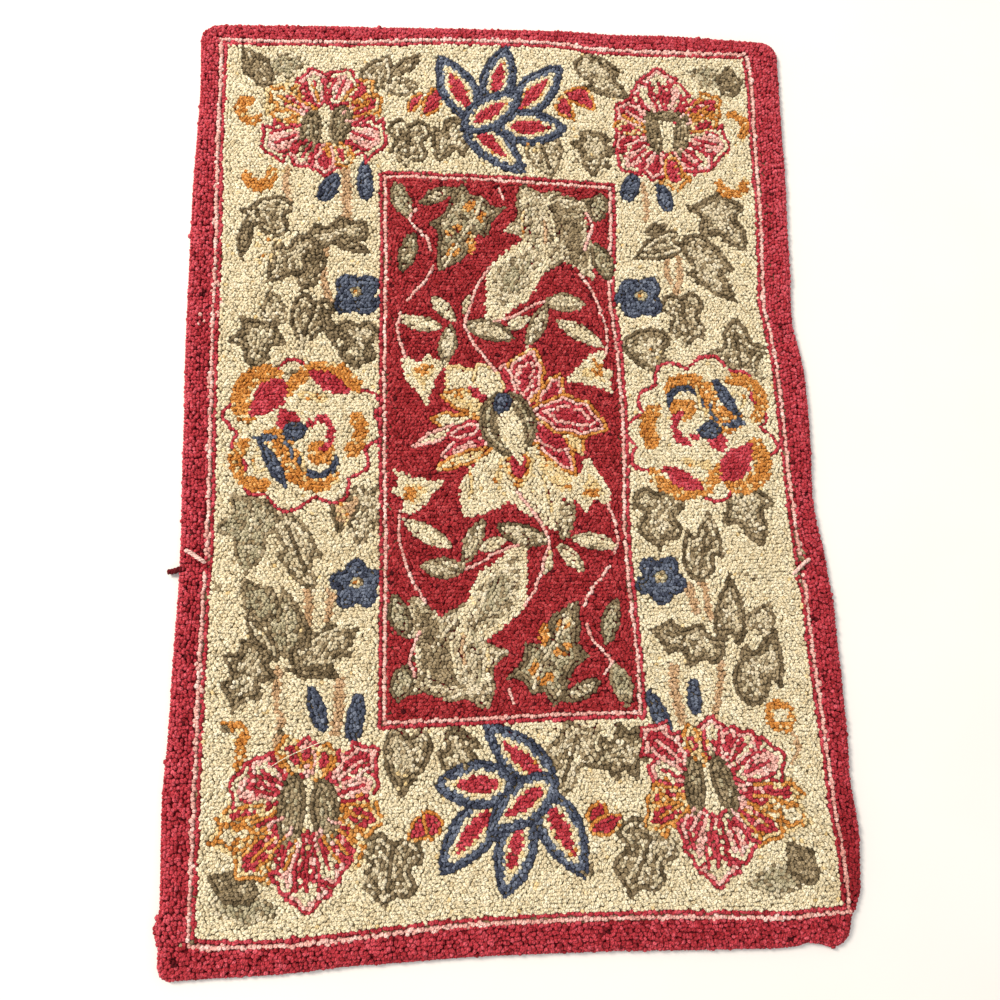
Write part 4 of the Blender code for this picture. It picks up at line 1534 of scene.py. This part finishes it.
# %% The cloth
HEM_MM = 25.0
CLOTH_RINGS = (  # inset from the rug's edge and height, in mm, from the top round to the underside
    (60.0, 4.6), (16.0, 4.5), (6.0, 3.4), (3.2, 2.0), (2.6, 1.2), (3.2, 0.4), (6.0, 0.15), (HEM_MM, 0.15),
    (HEM_MM + 1.0, 0.75), (60.0, 0.8),
)


def backing_cloth():
    """Rings inside the rug's edge, joined into a closed sheet, with its middle filled above and below."""
    around_edge = edge_line[::2]
    points, faces = [], []
    count = len(around_edge)
    middle = around_edge.mean(0)
    for inset, height in CLOTH_RINGS:
        shrink = 1 - inset / np.abs(around_edge - middle).max(0)
        ring = on_cloth((around_edge - middle) * shrink + middle)
        points += [(x, y, height * MM) for x, y in ring]
    for k in range(len(CLOTH_RINGS) - 1):
        for i in range(count):
            j = (i + 1) % count
            faces.append((k * count + i, (k + 1) * count + i, (k + 1) * count + j, k * count + j))
    faces.append(tuple(range(count)))
    last = (len(CLOTH_RINGS) - 1) * count
    faces.append(tuple(last + i for i in reversed(range(count))))
    mesh = bpy.data.meshes.new("backing_cloth")
    mesh.from_pydata(points, [], faces)
    mesh.materials.append(cotton_cloth())
    mesh.shade_smooth()
    mesh.set_sharp_from_angle(angle=math.radians(40))
    return put_in_scene("backing_cloth", mesh)


cloth = backing_cloth()
print("cloth", len(cloth.data.vertices), "points")

# %% [markdown]
# ## Loose ends
#
# Three ends of yarn have worked loose at the sides and a pale hair lies over one peony. Each is a short
# twisted tube along a curve. They are pulled-out pile, so they go with the cloth and not as cords of their
# own.

# %% Loose yarn ends
END_SIDES = 10
END_STEP = 0.8  # mm from one ring of an end to the next
END_TWIST = 0.35  # radians from one ring to the next
LOOSE_ENDS = (  # name, wool, thickness in mm, tone, and points in mm of the pattern with their height
    ("loose_end_left", "pink", 4.0, 0.7,
     (-278, -105, 7.5), (-284, -101, 9.5), (-291, -96, 9.5), (-297, -93, 8.0)),
    ("loose_end_right", "pink", 3.6, 0.75,
     (271, -125, 8.0), (277, -119, 9.8), (284, -113, 10.0), (289, -110, 9.0)),
    ("loose_end_edge", "maroon", 5.2, 0.6,
     (-299, -109, 6.0), (-304, -111, 5.5), (-309, -112, 3.5), (-313, -112, 3.0)),
    ("pale_hair", "cream", 0.7, 0.9,
     (-216, -286, 8.6), (-200, -277, 9.0), (-180, -269, 9.0), (-160, -262, 8.6)),
)


def yarn_end(name, wool, thick, tone, *points):
    """A short twisted end of yarn along an easy curve through points."""
    line = easy_curve([p[:2] for p in points], closed=False, step=END_STEP)
    along = np.linspace(0, len(points) - 1, len(line))
    heights = np.interp(along, range(len(points)), [p[2] for p in points])
    line = np.column_stack([on_cloth(line), heights * MM])
    last = len(line) - 1
    verts, faces, strand = [], [], []
    for k, point in enumerate(line):
        ahead = Vector(line[min(k + 1, last)] - line[max(k - 1, 0)]).normalized()
        side = ahead.cross(Vector((0, 0, 1))).normalized()
        up = side.cross(ahead)
        share = k / last
        taper = min(1.0, 0.45 + 5 * share, 0.55 + 6 * (1 - share))
        for s in range(END_SIDES):
            a = 2 * math.pi * s / END_SIDES + END_TWIST * k
            r = thick / 2 * MM * taper * (1 + 0.14 * math.cos(2 * (a - 2 * END_TWIST * k)))
            verts.append(Vector(point) + side * r * math.cos(a) + up * r * math.sin(a))
            strand.append((k * END_STEP, a * thick / 2, 0.0))
    for k in range(last):
        here, ahead = k * END_SIDES, (k + 1) * END_SIDES
        for s in range(END_SIDES):
            t = (s + 1) % END_SIDES
            faces.append((here + s, here + t, ahead + t, ahead + s))
    faces.append(tuple(reversed(range(END_SIDES))))
    faces.append(tuple(last * END_SIDES + s for s in range(END_SIDES)))
    mesh = bpy.data.meshes.new(name)
    mesh.from_pydata(verts, [], faces)
    mesh.shade_smooth()
    mesh.materials.append(wool_materials[wool])
    store(mesh, "tone", [tone] * len(verts))
    # a loose end has no painted root shade
    store(mesh, "root", [0.0] * len(verts))
    store(mesh, "strand", strand)
    return put_in_scene(name, mesh)


loose_ends = [yarn_end(*details) for details in LOOSE_ENDS]
print([end.name for end in loose_ends])

# %% [markdown]
# ## Put every piece with the rug's body
#
# Every piece goes with the rug's one body. The cloth stands for the plain solid, which is hidden; the size
# that the cloth was cut to is the rug plus its turned-under inch.

for piece in [cloth, *pile, *loose_ends]:
    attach(piece, "root")
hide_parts("rug")
